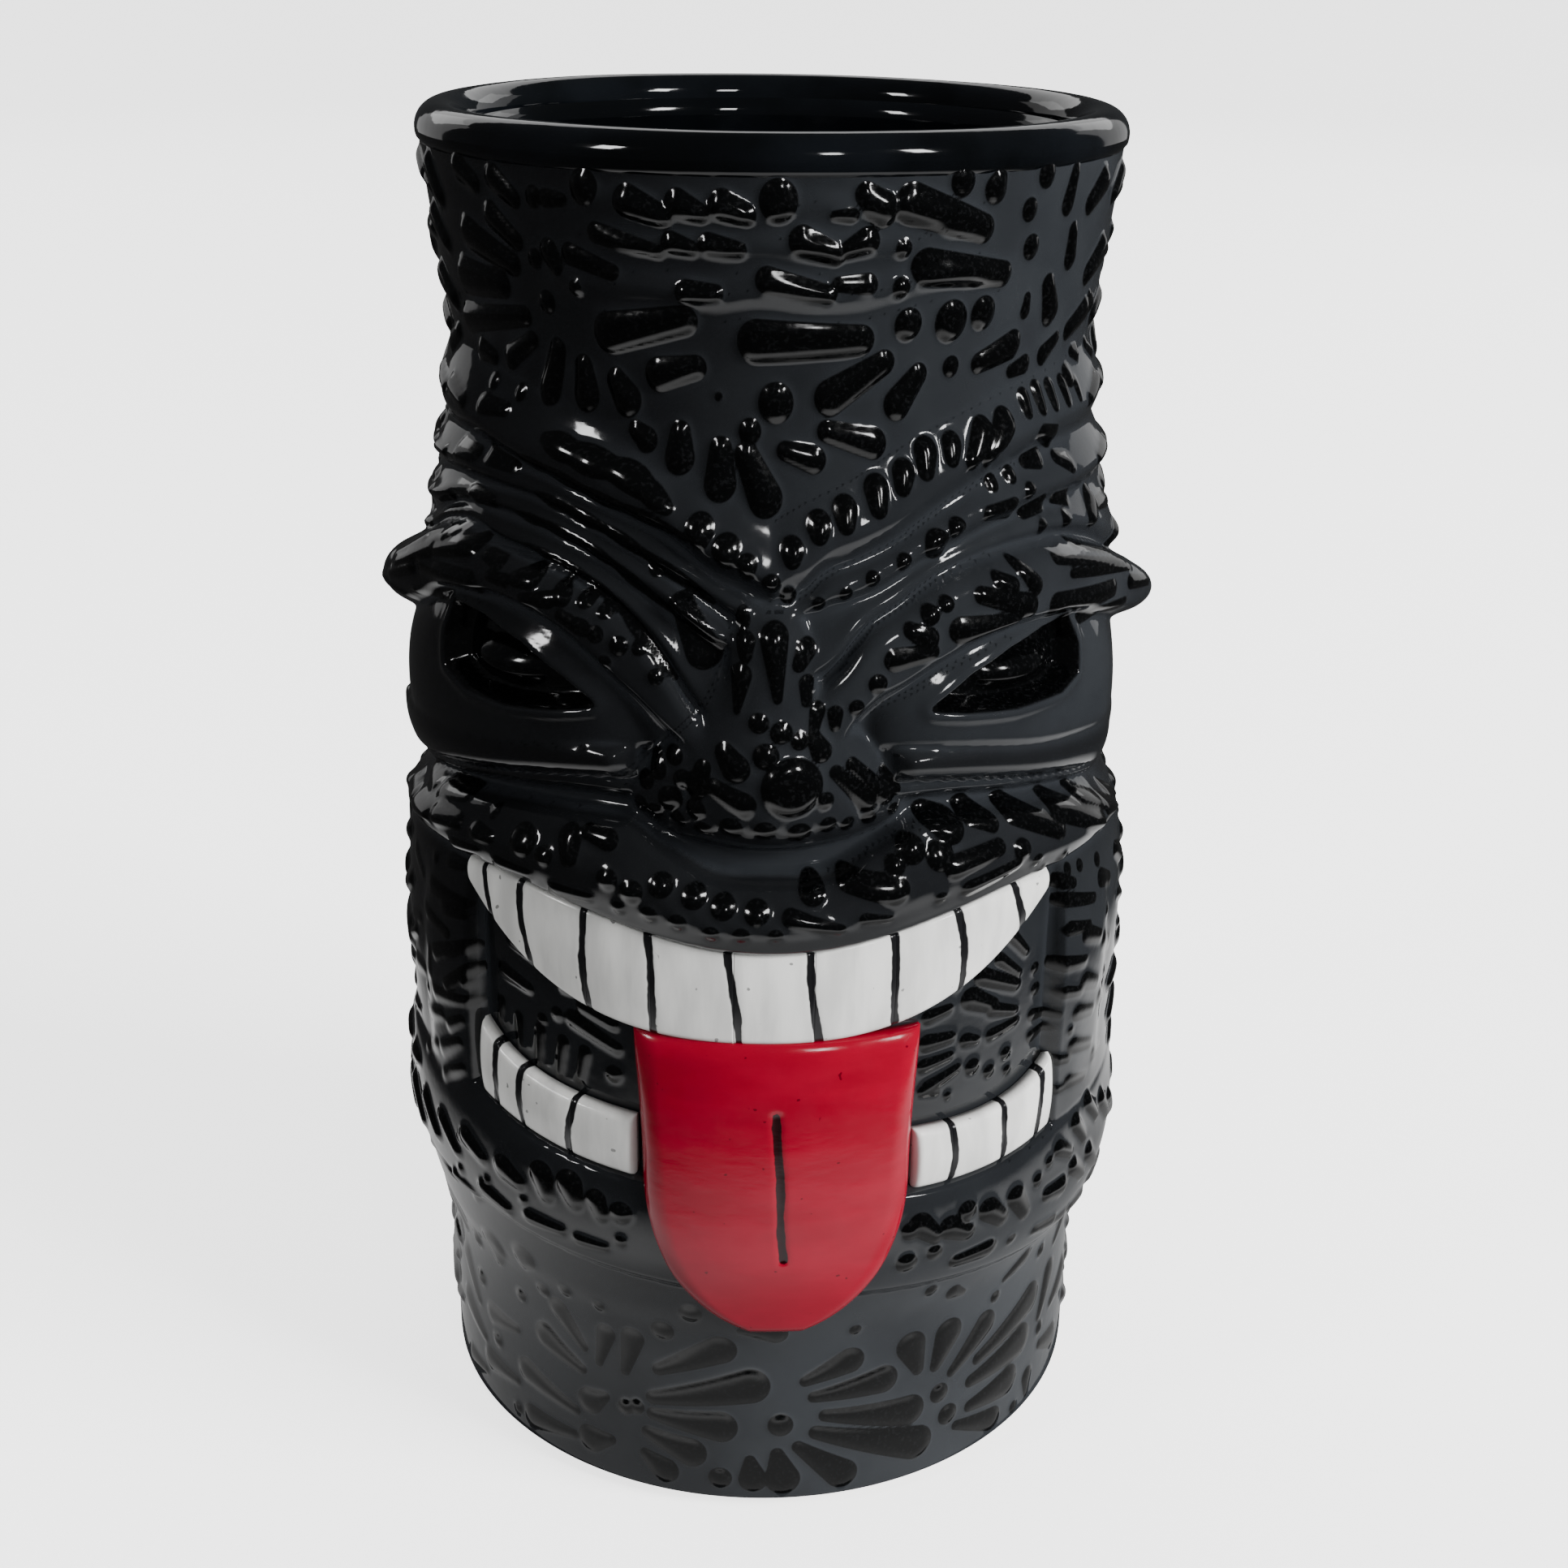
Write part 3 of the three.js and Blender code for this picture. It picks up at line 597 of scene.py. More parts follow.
# The brows: small drops near the nose, then longer ones and thin fingers towards the points.
lay_petals([
    (21, 118.5, 23.5, 117.5, 1.4), (24, 116, 18.5, 115.5, 1.4), (37.5, 118, 28.5, 118, 1.6),
    (32, 121.5, 40, 119.5, 1.5), (35, 123, 37, 122, 1.2), (39, 124, 41.5, 121.5, 1.2),
    (62, 117.5, 46, 118.5, 1.6), (66, 115, 54, 115.5, 1), (68, 119.5, 47, 123.5, 0.7),
    (70, 118.5, 50, 121.5, 0.7), (66, 121, 54, 124, 0.6), (76, 115.5, 68, 117, 1),
    (-45, 123.5, -41.5, 123, 0.9), (-43, 121.5, -39.5, 121.5, 0.9), (-37.5, 122, -35, 122.5, 1.4),
    (-36, 120, -31.5, 120.5, 1.1), (-30, 122, -29.5, 121, 1.2), (-29.5, 119, -26, 118, 1.1),
    (-57, 122, -48, 124, 1.3), (-61, 119.5, -47, 120, 1.6), (-70, 118, -58, 122, 1),
    (-72, 116, -64, 118.5, 1), (-64, 115.5, -54, 117, 0.8), (-66, 120, -54, 124.5, 0.6),
    (-72, 118.5, -62, 122.5, 0.6), (-78, 114.5, -68, 114, 0.8),
], 0.42, 1.0)
lay_dots([
    (24, 120, 1.2), (26.5, 121, 1), (16, 113, 1.2), (13, 110.5, 1), (-26, 121, 1.1), (-23, 120, 1),
    (-20.5, 116.5, 1.2), (-17.5, 116.5, 1), (-24, 117.5, 1.1), (-15, 113.5, 1), (-22.5, 114.5, 0.9),
], 0.5, 1.0)

# The nose: upright drops on the bridge, pebbles on one side, a round tip and long drops on the other side.
lay_petals([(2, 112, 1.5, 118.5, 1.7), (-3.5, 110.5, -3, 114.5, 1.3)], 0.6, 1.0, 0.35)
lay_petals([
    (-2.5, 116.5, -2.5, 118, 1.2), (-3, 121, -3, 120, 1), (5, 115.5, 6, 117, 1.3),
    (6, 111.5, 6, 113.5, 1), (7, 108.5, 7.5, 110.5, 1), (7, 107.5, 8, 106, 1.3),
    (-5, 106, -3.5, 104.5, 1.7), (-6.5, 102, -2.5, 100.5, 1.6), (10, 103.5, 15, 99, 1.2),
    (12.5, 104, 18, 99.5, 1.2), (17.5, 102.5, 19.5, 100, 0.9), (-15.5, 104, -15, 102.5, 1.2),
    (-8, 104, -9, 101.5, 1.4), (10, 108.5, 10, 110, 1),
], 0.45, 1.0)
lay_dots([
    (-0.5, 109.5, 1.2), (2.5, 108.5, 1.3), (5, 107.5, 1.1), (0.5, 106, 1.5), (-12.5, 104.5, 1.2),
    (-11, 102, 1.3), (-13, 99.5, 1.6), (-17, 101, 1.2), (-9, 99, 1.3), (-18, 98, 1.1),
    (-15.5, 97.5, 1.1), (-12, 97, 1.1), (-8, 96.5, 1.2), (-4, 97.5, 1.4), (0.5, 97.5, 1.3), (5, 97, 1.4),
    (9, 97.5, 1.1), (12, 97, 1), (15.5, 97, 1), (19.5, 97.5, 0.9), (8.5, 100.5, 1.1),
], 0.45, 1.0)
dot(2.5, 102.5, 3.4, 0.75)

# The upper lip.
lay_petals([
    (34.5, 94.5, 31.5, 96, 1.3), (46.5, 91.5, 39, 95, 1.4), (59, 89, 48.5, 93.5, 1.5),
    (62, 90.5, 56, 93, 1.2), (34.5, 92, 27, 91, 1.2), (37.5, 89.5, 29.5, 88, 1),
    (12, 90.5, 18, 89.5, 1.5), (24.5, 96.5, 27.5, 95, 1.5), (17.5, 86, 14, 86.5, 0.7),
    (10.5, 85.5, 4, 87, 0.9), (72, 87, 63, 90, 1.2), (80, 86, 72, 89, 1), (-27, 91.5, -27.5, 93.5, 1.3),
    (-25, 94.5, -21.5, 94, 1), (-48.5, 91, -55, 90, 1.2), (-50, 93.5, -58, 92.5, 1.1),
    (-58.5, 89, -66, 88.5, 1.2), (-62, 91.5, -70, 91, 1.1), (-70, 88, -78, 87.5, 1.1),
    (-44, 88.5, -50, 87.5, 1), (-34, 88, -39.5, 88, 1), (-24, 87, -29.5, 87, 0.9), (-41, 91, -44, 91, 1),
])
lay_dots([
    (25, 92.5, 1.6), (38.5, 91, 1.2), (21, 93.5, 1.5), (18.5, 92, 1.1), (41.5, 89, 0.8), (7, 89.5, 1.4),
    (48, 87.5, 0.8), (-35, 92, 1.7), (-31, 91, 1.1), (-42, 93.5, 0.8), (-17.5, 89, 1.3),
    (-13.5, 90, 1.3), (-9, 89, 1.3), (-5, 88, 1.3), (-0.5, 87.5, 1.3), (-15, 86.5, 1), (-11, 86, 1),
    (-6.5, 85, 0.9), (-2.5, 85, 0.9), (2, 85, 0.8), (-21, 90, 1.2), (-19.5, 86.5, 0.9), (25, 87.5, 0.8),
    (26, 93.5, 0.8), (43.5, 87, 0.7),
])

# Inside the open mouth.
lay_petals([
    (38, 69.5, 33.5, 71.5, 1.3), (43, 67.5, 38, 69, 0.9), (43, 71, 35.5, 74, 1.1),
    (43.5, 66, 38, 65.5, 0.8), (30, 67, 26, 67, 1.1), (29.5, 71, 26, 70.5, 0.9),
    (30, 64.5, 25.5, 64, 0.9), (31.5, 62.5, 26.5, 61, 0.9), (28, 60, 25.5, 60.5, 0.7),
    (35, 65.5, 33, 66, 0.9), (43.5, 72.5, 39, 75.5, 0.8), (45, 75, 41.5, 78, 0.8),
    (-22, 66.5, -29.5, 69, 1.1), (-22.5, 69.5, -27.5, 71, 1), (-26.5, 73, -31, 73, 0.9),
    (-36.5, 61, -36, 66, 0.8), (-32.5, 60.5, -31.5, 65.5, 0.8), (-28.5, 61, -27.5, 65, 0.8),
    (-40.5, 62, -40.5, 66.5, 0.7), (-38, 71, -43.5, 72, 1), (-45, 64.5, -44.5, 67.5, 0.7),
    (-36, 75, -41.5, 76.5, 0.8), (-42.5, 78.5, -46, 79, 0.7),
], 0.36)
lay_dots([
    (34.5, 62, 1.1), (38, 60.5, 0.9), (-35.5, 67.5, 0.8), (-32.5, 69, 0.9), (-22.5, 63, 1.1),
    (41.5, 62, 0.9), (31, 74, 0.8), (30, 59, 0.6), (42, 59.5, 0.7),
], 0.4)

# The posts on both sides of the mouth, and the cheeks behind them.
lay_petals([
    (51, 65, 47.5, 65.5, 0.8), (50.5, 63, 47.5, 62.5, 0.8), (54, 82, 51, 83, 0.9),
    (59.5, 78.5, 51.5, 80.5, 0.9), (62, 72.5, 57, 74.5, 1.1), (57.5, 75.5, 52.5, 76.5, 0.9),
    (56.5, 71, 51.5, 72, 1), (62, 66, 57, 68, 1.1), (56, 67, 52, 68, 0.8), (61, 62.5, 55.5, 64, 1),
    (61.5, 57.5, 55, 59.5, 1), (54, 58, 49.5, 59, 0.8), (60.5, 53, 54.5, 54.5, 0.9),
    (53.5, 54, 50, 54.5, 0.7), (68.5, 78, 63, 80, 1.1), (69, 69, 64.5, 71, 1.1),
    (69, 61.5, 64.5, 63, 1.1), (68, 54, 63.5, 55, 1), (-50, 78, -55, 77.5, 0.8),
    (-49.5, 74, -58, 70.5, 1.1), (-49, 71, -54.5, 67, 1), (-50, 79.5, -60, 79, 1),
    (-49.5, 66.5, -59, 64.5, 1), (-51, 84, -55, 83.5, 0.9), (-51, 63.5, -54.5, 61.5, 0.9),
    (-54, 74.5, -62.5, 75, 1), (-60.5, 70, -61.5, 66.5, 0.9), (-57, 62, -63.5, 60, 1),
    (-52, 60, -57.5, 57, 1), (-51.5, 56.5, -57, 53.5, 0.9), (-60, 56.5, -65, 54.5, 1),
    (-65.5, 78.5, -70.5, 80, 1.1), (-66.5, 72, -71.5, 70.5, 1.1), (-66, 65, -71.5, 64, 1.1),
], 0.14)
lay_dots([
    (47.5, 72, 0.8), (48, 69, 0.9), (53, 84, 0.8), (-52, 46.5, 0.8), (56.5, 83.5, 0.8), (-48, 59, 0.7),
    (-50, 69, 0.7), (62.5, 82.5, 0.9), (-60, 82.5, 0.9), (66, 74.5, 0.8), (67, 65.5, 0.8),
    (-64, 63, 0.7), (54, 62, 0.6),
], 0.18)

# The lower lip and the jaw.
lay_petals([
    (26.5, 42, 24, 44, 1.4), (32, 41, 29, 42.5, 1.4), (38.5, 41, 36, 43, 1.4), (43.5, 40, 41.5, 43, 1.3),
    (30.5, 37, 36.5, 37, 1.2), (49, 40.5, 53, 40, 1.3), (55.5, 44, 52, 46, 1),
    (60.5, 44, 57.5, 47.5, 1.1), (60.5, 38.5, 56.5, 41.5, 1.1), (66, 45, 62.5, 48.5, 1.1),
    (66.5, 37.5, 62.5, 41, 1.2), (73, 42, 69, 46, 1.2), (47.5, 35.5, 52.5, 34.5, 1),
    (60, 33, 65.5, 32.5, 1), (79.5, 39.5, 75, 43.5, 1.2), (-27.5, 46, -28.5, 48, 1.6),
    (-32.5, 45.5, -33.5, 48, 1.5), (-38, 45.5, -41, 46.5, 1.5), (-46, 46, -50, 47.5, 1.3),
    (-23, 45, -24, 47, 1.2), (-53, 44, -57.5, 47, 1.2), (-60, 43.5, -64.5, 47, 1.3),
    (-67.5, 42, -72.5, 46, 1.3), (-40.5, 40.5, -46, 41.5, 1.1), (-30, 41, -36, 41, 1),
    (-49, 39, -54.5, 39.5, 1.1), (-59, 37.5, -65, 39, 1.1), (-22.5, 40.5, -27, 40.5, 0.8),
    (-75, 40.5, -80.5, 43.5, 1.2),
])
lay_dots([
    (22.5, 43.5, 1.2), (32, 44, 1.3), (22, 39, 1.3), (26.5, 39.5, 1), (41.5, 36.5, 0.8), (-20, 46, 1.4),
    (-45, 43, 0.7), (-52.5, 41.5, 0.8), (46.5, 43.5, 0.9), (49.5, 45, 0.8), (-37, 43, 0.7),
    (-20, 42, 0.8),
])

# The base drum: three sprays of long drops, with loose dots between them.
lay_petals([
    (8, 20, 15.5, 22.5, 1.6), (9.5, 17.5, 21.5, 18.5, 1.7), (11.5, 14.5, 26.5, 12.5, 1.9),
    (10, 12, 28, 7, 2.1), (7, 10, 14.5, 5, 1.8), (3.5, 9, 4.5, 5, 1.9), (-1, 8, -0.5, 5, 1.6),
    (-22.5, 19, -21, 24.5, 1.4), (-27.5, 19, -26, 24, 1.2), (-16.5, 20.5, -6, 25, 1.8),
    (-17.5, 16, -1, 19.5, 2.1), (-17.5, 13.5, -6, 13, 1.9), (-18.5, 10.5, -11, 8.5, 1.8),
    (-19, 7, -15.5, 5, 1.6), (-26.5, 14, -29.5, 12.5, 1.6), (-25.5, 7.5, -29.5, 6.5, 1.7),
    (28, 18.5, 26.5, 22.5, 1.8), (31.5, 18, 34, 22.5, 1.8), (35, 16, 42.5, 21, 1.6),
    (41, 16, 56, 19.5, 1.9), (39.5, 13, 53, 14, 2), (39.5, 9, 49.5, 9, 1.9), (36.5, 7, 45.5, 4.5, 1.5),
    (-2.5, 28.5, 3, 28, 1.3), (-31, 17, -39, 19.5, 1.6), (-32.5, 10, -44, 12, 1.6),
    (-33, 6, -43, 5, 1.5), (-30.5, 20.5, -35.5, 25, 1.4), (-46.5, 17.5, -54.5, 16.5, 1.4),
    (-47, 9, -56, 8.5, 1.5), (52.5, 34, 57.5, 33, 1), (-50.5, 27, -50, 30, 2), (-42, 30, -41, 32, 1.7),
    (-51.5, 37, -50.5, 38.5, 1.1), (56.5, 3.5, 56.5, 6.5, 1.2), (60, 14.5, 64, 20, 1.6),
    (61, 9.5, 68, 7.5, 1.6), (-58, 11, -66, 13.5, 1.6), (-60, 16, -66, 21, 1.5), (66, 14, 74, 15.5, 1.7),
    (-58, 5.5, -65, 4.5, 1.3), (46.5, 26.5, 52, 28, 1.1), (36, 28.5, 33.5, 29.5, 1),
    (66, 24, 72, 27, 1.4), (-64, 26, -70, 29, 1.4),
], 0.27, 1.28, 0.42)
lay_dots([
    (4, 13.5, 1.6), (-22.5, 13.5, 1.1), (-20.5, 14, 1.1), (32.5, 13.5, 1.4), (34.5, 9.5, 1.5),
    (-6, 5, 1.5), (-10.5, 31, 1.4), (-15.5, 27, 1.5), (52, 3.5, 0.9), (60.5, 12.5, 1), (28.5, 31.5, 0.9),
    (-58.5, 20.5, 1.2), (-53, 13, 1.1), (-45, 23.5, 1), (-38.5, 27, 1.1), (-58, 27, 1.2), (-33, 29, 0.9),
    (16, 27.5, 0.8), (58.5, 26, 1), (-47, 4.5, 0.9), (44.5, 24.5, 0.9), (-26.5, 28.5, 0.8),
], 0.34)

# Round the back, where nothing of the face is left, sprays of longer drops fill the wall. Each row of sprays
# has a height and the angle of its first spray.
SPRAY_GAP = 4.0
DROPS_IN_SPRAY = 9
BACK_SPRAYS = [(16, 98), (41, 104), (66, 95), (91, 106), (116, 113), (146, 103)]
for row, (z, first) in enumerate(BACK_SPRAYS):
    count = 5 - row % 2
    for k in range(count):
        middle = first + (360 - 2 * first) * k / (count - 1) + 3 * math.sin(5 * k + row)
        height = z + 2.0 * math.sin(2 * k + 3 * row)
        turn = 23 * k + 31 * row
        dot(middle, height, 2.0, 0.5)
        for i in range(DROPS_IN_SPRAY):
            size = 8.0 + 2.6 * math.sin(2.4 * i + 1.7 * k + row)
            way = math.radians(turn + 40 * i + 5 * math.sin(3 * i + k))
            across, up = math.cos(way), math.sin(way)
            start, stop = SPRAY_GAP, SPRAY_GAP + size
            petal(
                middle + start * across / MM_PER_DEGREE, height + start * up,
                middle + stop * across / MM_PER_DEGREE, height + stop * up,
                0.9, 1.9 + 0.05 * size, 0.5,
            )


def nothing_near(a, z, reach):
    """Whether the wall is still bare within a reach in mm."""
    thin = (slice(None, None, 5), slice(None, None, 5))
    across = wrapped(a)[thin] * MM_PER_DEGREE
    return petal_height[thin][np.hypot(across, Z[thin] - z) < reach].max() < 0.08


# Loose drops take up whatever wall is still bare at the sides and the back, big ones first.
ANGLE_STEP = 0.618034
HEIGHT_STEP = 0.754878
for size, tries in ((2.1, 500), (1.4, 800)):
    for k in range(tries):
        a = 62 + 236 * ((k * ANGLE_STEP) % 1.0)
        z = 4 + 158 * ((k * HEIGHT_STEP) % 1.0)
        on_eye = min(a, 360 - a) < 92 and 90 < z < 118
        on_mouth = min(a, 360 - a) < 72 and z < 90
        if on_eye or on_mouth or not nothing_near(a, z, 1.3 * size + 0.3):
            continue
        turn = math.radians(30 * math.sin(0.09 * z + 0.05 * a) + (0 if a < 180 else 180))
        reach = size * (0.5 + 0.9 * ((k * 0.37) % 1.0))
        across, up = reach * math.cos(turn) / MM_PER_DEGREE, reach * math.sin(turn)
        petal(a - across, z - up, a + across, z + up, 0.55 * size, 0.8 * size, 0.5)

petal_height = blur(petal_height, PETAL_SOFTNESS)
radius = radius + petal_height

for name, inside in fold_parts + eye_parts:
    claim(name, inside)
claim("nose", (off_nose / nose_half < 1.05) & (Z > nose_bottom - 0.3) & (Z < 120.5))
claim("upper_lip", lip_on & (SIDE < LIP_END) & (hollow < 0.5) & (part != PARTS.index("nose")))
for name, on_this_side in (("lower_lip_left", ANG < 0), ("lower_lip_right", ANG >= 0)):
    claim(name, (Z > collar) & (Z < lip_crest) & (hollow < 0.5) & on_this_side & (SIDE < LIP_END))

# How blue the glaze is, partly the glaze's own tone and partly painted light: black over the eyes, the nose
# and the lip, blue-grey over the base and the forehead, and lighter towards the foot as painted bounce light
# from the floor.
glaze_tone_and_painted_light = curve([
    (0, 1.0), (28, 0.95), (40, 0.46), (52, 0.39), (80, 0.32), (90, 0.18), (96, 0.28), (104, 0.43),
    (116, 0.36), (124, 0.36), (150, 0.44), (166, 0.47),
])(Z)
# Painted light: the tone is raised on the right, where the key lamp shines, and lowered on the left, more
# strongly higher up the wall.
painted_light_from_right = np.sin(np.radians(ANG))
# The painted dark band darkens the eye rolls as a painted dark reflection.
glaze_tone_and_painted_light = clamp(glaze_tone_and_painted_light * (1 + (0.2 + 0.8 * step(Z, 45, 95)) * painted_light_from_right) * (1 - 0.75 * painted_dark_band))

# How far each place lies below its surroundings: glaze pools there and looks thicker.
pooling = clamp((blur(radius, 1.1) - radius) * 1.6, -1, 1)


# What the glaze reads at each place, and its value on the hidden back of a piece.
GLAZE_FIELDS = {"petal": (petal_and_almond_shade, -2.0), "pooling": (pooling, 0.0), "glaze_tone_and_painted_light": (glaze_tone_and_painted_light, 0.0)}


# ---- meshes ----

def round_axis(r, angle, z):
    """Points from a radius, an angle in radians and a height."""
    return np.stack([r * np.sin(angle), -r * np.cos(angle), z], -1)


ang_rad = np.radians(ANG)
outer = round_axis(radius, ang_rad, Z)


def grid_normals(points):
    """Outward normals of the wall, which joins up with itself round the back."""
    along = np.roll(points, -1, 1) - np.roll(points, 1, 1)
    up = np.gradient(points, axis=0)
    n = np.cross(along, up)
    return n / np.linalg.norm(n, axis=-1, keepdims=True)


normals = grid_normals(outer)


def build(name, verts, quads, nodes, material, normal=None, fields=None):
    """A mesh piece from points in mm and quads of point numbers."""
    verts = np.asarray(verts, float)
    quads = np.asarray(quads, np.int32)
    mesh = bpy.data.meshes.new(name)
    mesh.vertices.add(len(verts))
    mesh.vertices.foreach_set("co", (verts * MM).astype(np.float32).ravel())
    mesh.loops.add(quads.size)
    mesh.loops.foreach_set("vertex_index", quads.ravel())
    mesh.polygons.add(len(quads))
    mesh.polygons.foreach_set("loop_start", np.arange(0, quads.size, 4, dtype=np.int32))
    mesh.update(calc_edges=True)
    mesh.shade_smooth()
    for key, values in (fields or {}).items():
        layer = mesh.attributes.new(key, "FLOAT", "POINT")
        layer.data.foreach_set("value", np.asarray(values, np.float32).ravel())
    if normal is not None:
        mesh.normals_split_custom_set_from_vertices(np.asarray(normal, np.float32))
    obj = bpy.data.objects.new(name, mesh)
    bpy.context.scene.collection.objects.link(obj)
    mesh.materials.append(material)
    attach(obj, "root")
    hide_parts(*nodes)


# ---- materials ----

def new_material(name):
    material = bpy.data.materials.new(name)
    material.use_nodes = True
    tree = material.node_tree
    return material, tree, tree.nodes["Principled BSDF"]


def field(tree, name):
    node = tree.nodes.new("ShaderNodeAttribute")
    node.attribute_name = name
    return node.outputs["Fac"]


def noise(tree, scale, detail=3.0, stretch=None):
    node = tree.nodes.new("ShaderNodeTexNoise")
    node.inputs["Scale"].default_value = scale
    node.inputs["Detail"].default_value = detail
    place = tree.nodes.new("ShaderNodeTexCoord")
    source = place.outputs["Object"]
    if stretch:
        mapping = tree.nodes.new("ShaderNodeMapping")
        mapping.inputs["Scale"].default_value = stretch
        tree.links.new(source, mapping.inputs["Vector"])
        source = mapping.outputs["Vector"]
    tree.links.new(source, node.inputs["Vector"])
    return node.outputs["Fac"]


def remap(tree, value, lo, hi, to_lo=0.0, to_hi=1.0):
    node = tree.nodes.new("ShaderNodeMapRange")
    node.interpolation_type = "SMOOTHSTEP"
    for key, number in (("From Min", lo), ("From Max", hi), ("To Min", to_lo), ("To Max", to_hi)):
        node.inputs[key].default_value = number
    tree.links.new(value, node.inputs["Value"])
    return node.outputs["Result"]


def mix(tree, factor, first, second):
    """A colour between two; each is a colour or another node's output."""
    node = tree.nodes.new("ShaderNodeMix")
    node.data_type = "RGBA"
    sockets = [s for s in node.inputs if s.type == "RGBA"]
    tree.links.new(factor, node.inputs["Factor"])
    for socket, value in zip(sockets, (first, second)):
        if isinstance(value, tuple):
            socket.default_value = (*value, 1.0)
        else:
            tree.links.new(value, socket)
    return [s for s in node.outputs if s.type == "RGBA"][0]


def math_node(tree, operation, first, second):
    node = tree.nodes.new("ShaderNodeMath")
    node.operation = operation
    for socket, value in zip(node.inputs, (first, second)):
        if isinstance(value, (int, float)):
            socket.default_value = value
        else:
            tree.links.new(value, socket)
    return node.outputs["Value"]


def vector_node(tree, operation, source, by=None):
    node = tree.nodes.new("ShaderNodeVectorMath")
    node.operation = operation
    tree.links.new(source, node.inputs[0])
    if by:
        node.inputs[1].default_value = by
    return node.outputs["Value" if operation == "LENGTH" else "Vector"]


def bump(tree, shader, height, distance, strength):
    node = tree.nodes.new("ShaderNodeBump")
    node.inputs["Strength"].default_value = strength
    node.inputs["Distance"].default_value = distance
    tree.links.new(height, node.inputs["Height"])
    tree.links.new(node.outputs["Normal"], shader.inputs["Normal"])


GLAZE_IOR = 1.52
ENAMEL_IOR = 1.5
PAINTED_LINE_HALF = 0.5
SLATE = (0.026, 0.029, 0.033)
SLATE_DEEP = (0.0175, 0.0195, 0.0225)
BLACK_GLAZE_DARK = (0.0010, 0.0013, 0.0016)
BLACK_GLAZE_LIGHT = (0.0030, 0.0038, 0.0050)
CLAY_DARK = (0.42, 0.30, 0.21)
CLAY_LIGHT = (0.60, 0.46, 0.34)
PETAL_DARK = (0.0008, 0.0009, 0.0010)
PETAL_SPECK = (0.0042, 0.0044, 0.0048)


def wall_glaze():
    """Near-black blue-grey glaze, thicker and bluer in the hollows, over darker speckled petals. Its tone
    field carries painted light and a painted dark reflection, and the eye almonds take the petals' black as
    painted shade.
    """
    material, tree, shader = new_material("slate_glaze_over_petals")
    shader.inputs["IOR"].default_value = GLAZE_IOR
    clouds = remap(tree, noise(tree, 55, 4), 0.35, 0.65)
    ground = mix(tree, clouds, SLATE_DEEP, SLATE)
    # Painted light: where the tone field is low the ground turns to the near-black speck colour, so the
    # painted light and the painted dark band show here.
    ground = mix(tree, field(tree, "glaze_tone_and_painted_light"), PETAL_SPECK, ground)
    pooled = remap(tree, field(tree, "pooling"), 0.0, 0.9)
    ground = mix(tree, pooled, ground, SLATE_DEEP)
    specks = remap(tree, noise(tree, 2300, 2), 0.52, 0.7)
    drop = mix(tree, specks, PETAL_DARK, PETAL_SPECK)
    # Painted shade: the almond hollows are marked with the petals and take the same near-black drop colour.
    on_petal_and_almond_shade = remap(tree, field(tree, "petal"), -0.05, 0.18)
    colour = mix(tree, on_petal_and_almond_shade, ground, drop)
    tree.links.new(colour, shader.inputs["Base Color"])
    rough_ground = remap(tree, noise(tree, 130, 3), 0.3, 0.7, 0.055, 0.10)
    rough_petal = remap(tree, noise(tree, 1600, 2), 0.3, 0.7, 0.08, 0.15)
    difference = math_node(tree, "SUBTRACT", rough_petal, rough_ground)
    blend = math_node(tree, "MULTIPLY", difference, on_petal_and_almond_shade)
    tree.links.new(math_node(tree, "ADD", rough_ground, blend), shader.inputs["Roughness"])
    bump(tree, shader, noise(tree, 330, 2), 0.00006, 0.5)
    return material


def plain_glaze(name, seed_scale):
    """The same glaze where the wall is bare of petals."""
    material, tree, shader = new_material(name)
    shader.inputs["IOR"].default_value = GLAZE_IOR
    clouds = remap(tree, noise(tree, seed_scale, 4), 0.35, 0.65)
    tree.links.new(mix(tree, clouds, BLACK_GLAZE_DARK, BLACK_GLAZE_LIGHT), shader.inputs["Base Color"])
    tree.links.new(remap(tree, noise(tree, 120, 3), 0.3, 0.7, 0.04, 0.085), shader.inputs["Roughness"])
    bump(tree, shader, noise(tree, 240, 2), 0.00008, 0.5)
    return material


def enamel(name, light, dark, line_colour, streaks, roughness):
    """Hand-brushed enamel with painted lines."""
    material, tree, shader = new_material(name)
    shader.inputs["IOR"].default_value = ENAMEL_IOR
    brushed = remap(tree, noise(tree, 260, 5, streaks), 0.32, 0.68)
    colour = mix(tree, brushed, dark, light)
    pits = remap(tree, noise(tree, 900, 1), 0.745, 0.78)
    colour = mix(tree, pits, colour, tuple(0.45 * c for c in dark))
    wobble = remap(tree, noise(tree, 420, 2), 0.2, 0.8, -0.12, 0.12)
    distance = math_node(tree, "ADD", field(tree, "line"), wobble)
    painted = remap(tree, distance, PAINTED_LINE_HALF + 0.06, PAINTED_LINE_HALF - 0.10)
    colour = mix(tree, painted, colour, line_colour)
    tree.links.new(colour, shader.inputs["Base Color"])
    tree.links.new(remap(tree, noise(tree, 300, 3), 0.3, 0.7, *roughness), shader.inputs["Roughness"])
    bump(tree, shader, brushed, 0.00003, 0.6)
    return material


def bare_clay():
    material, tree, shader = new_material("unglazed_foot_clay")
    grain = noise(tree, 900, 5)
    colour = mix(tree, remap(tree, grain, 0.3, 0.7), CLAY_DARK, CLAY_LIGHT)
    tree.links.new(colour, shader.inputs["Base Color"])
    tree.links.new(remap(tree, grain, 0.2, 0.8, 0.75, 0.95), shader.inputs["Roughness"])
    bump(tree, shader, grain, 0.0001, 0.6)
    return material


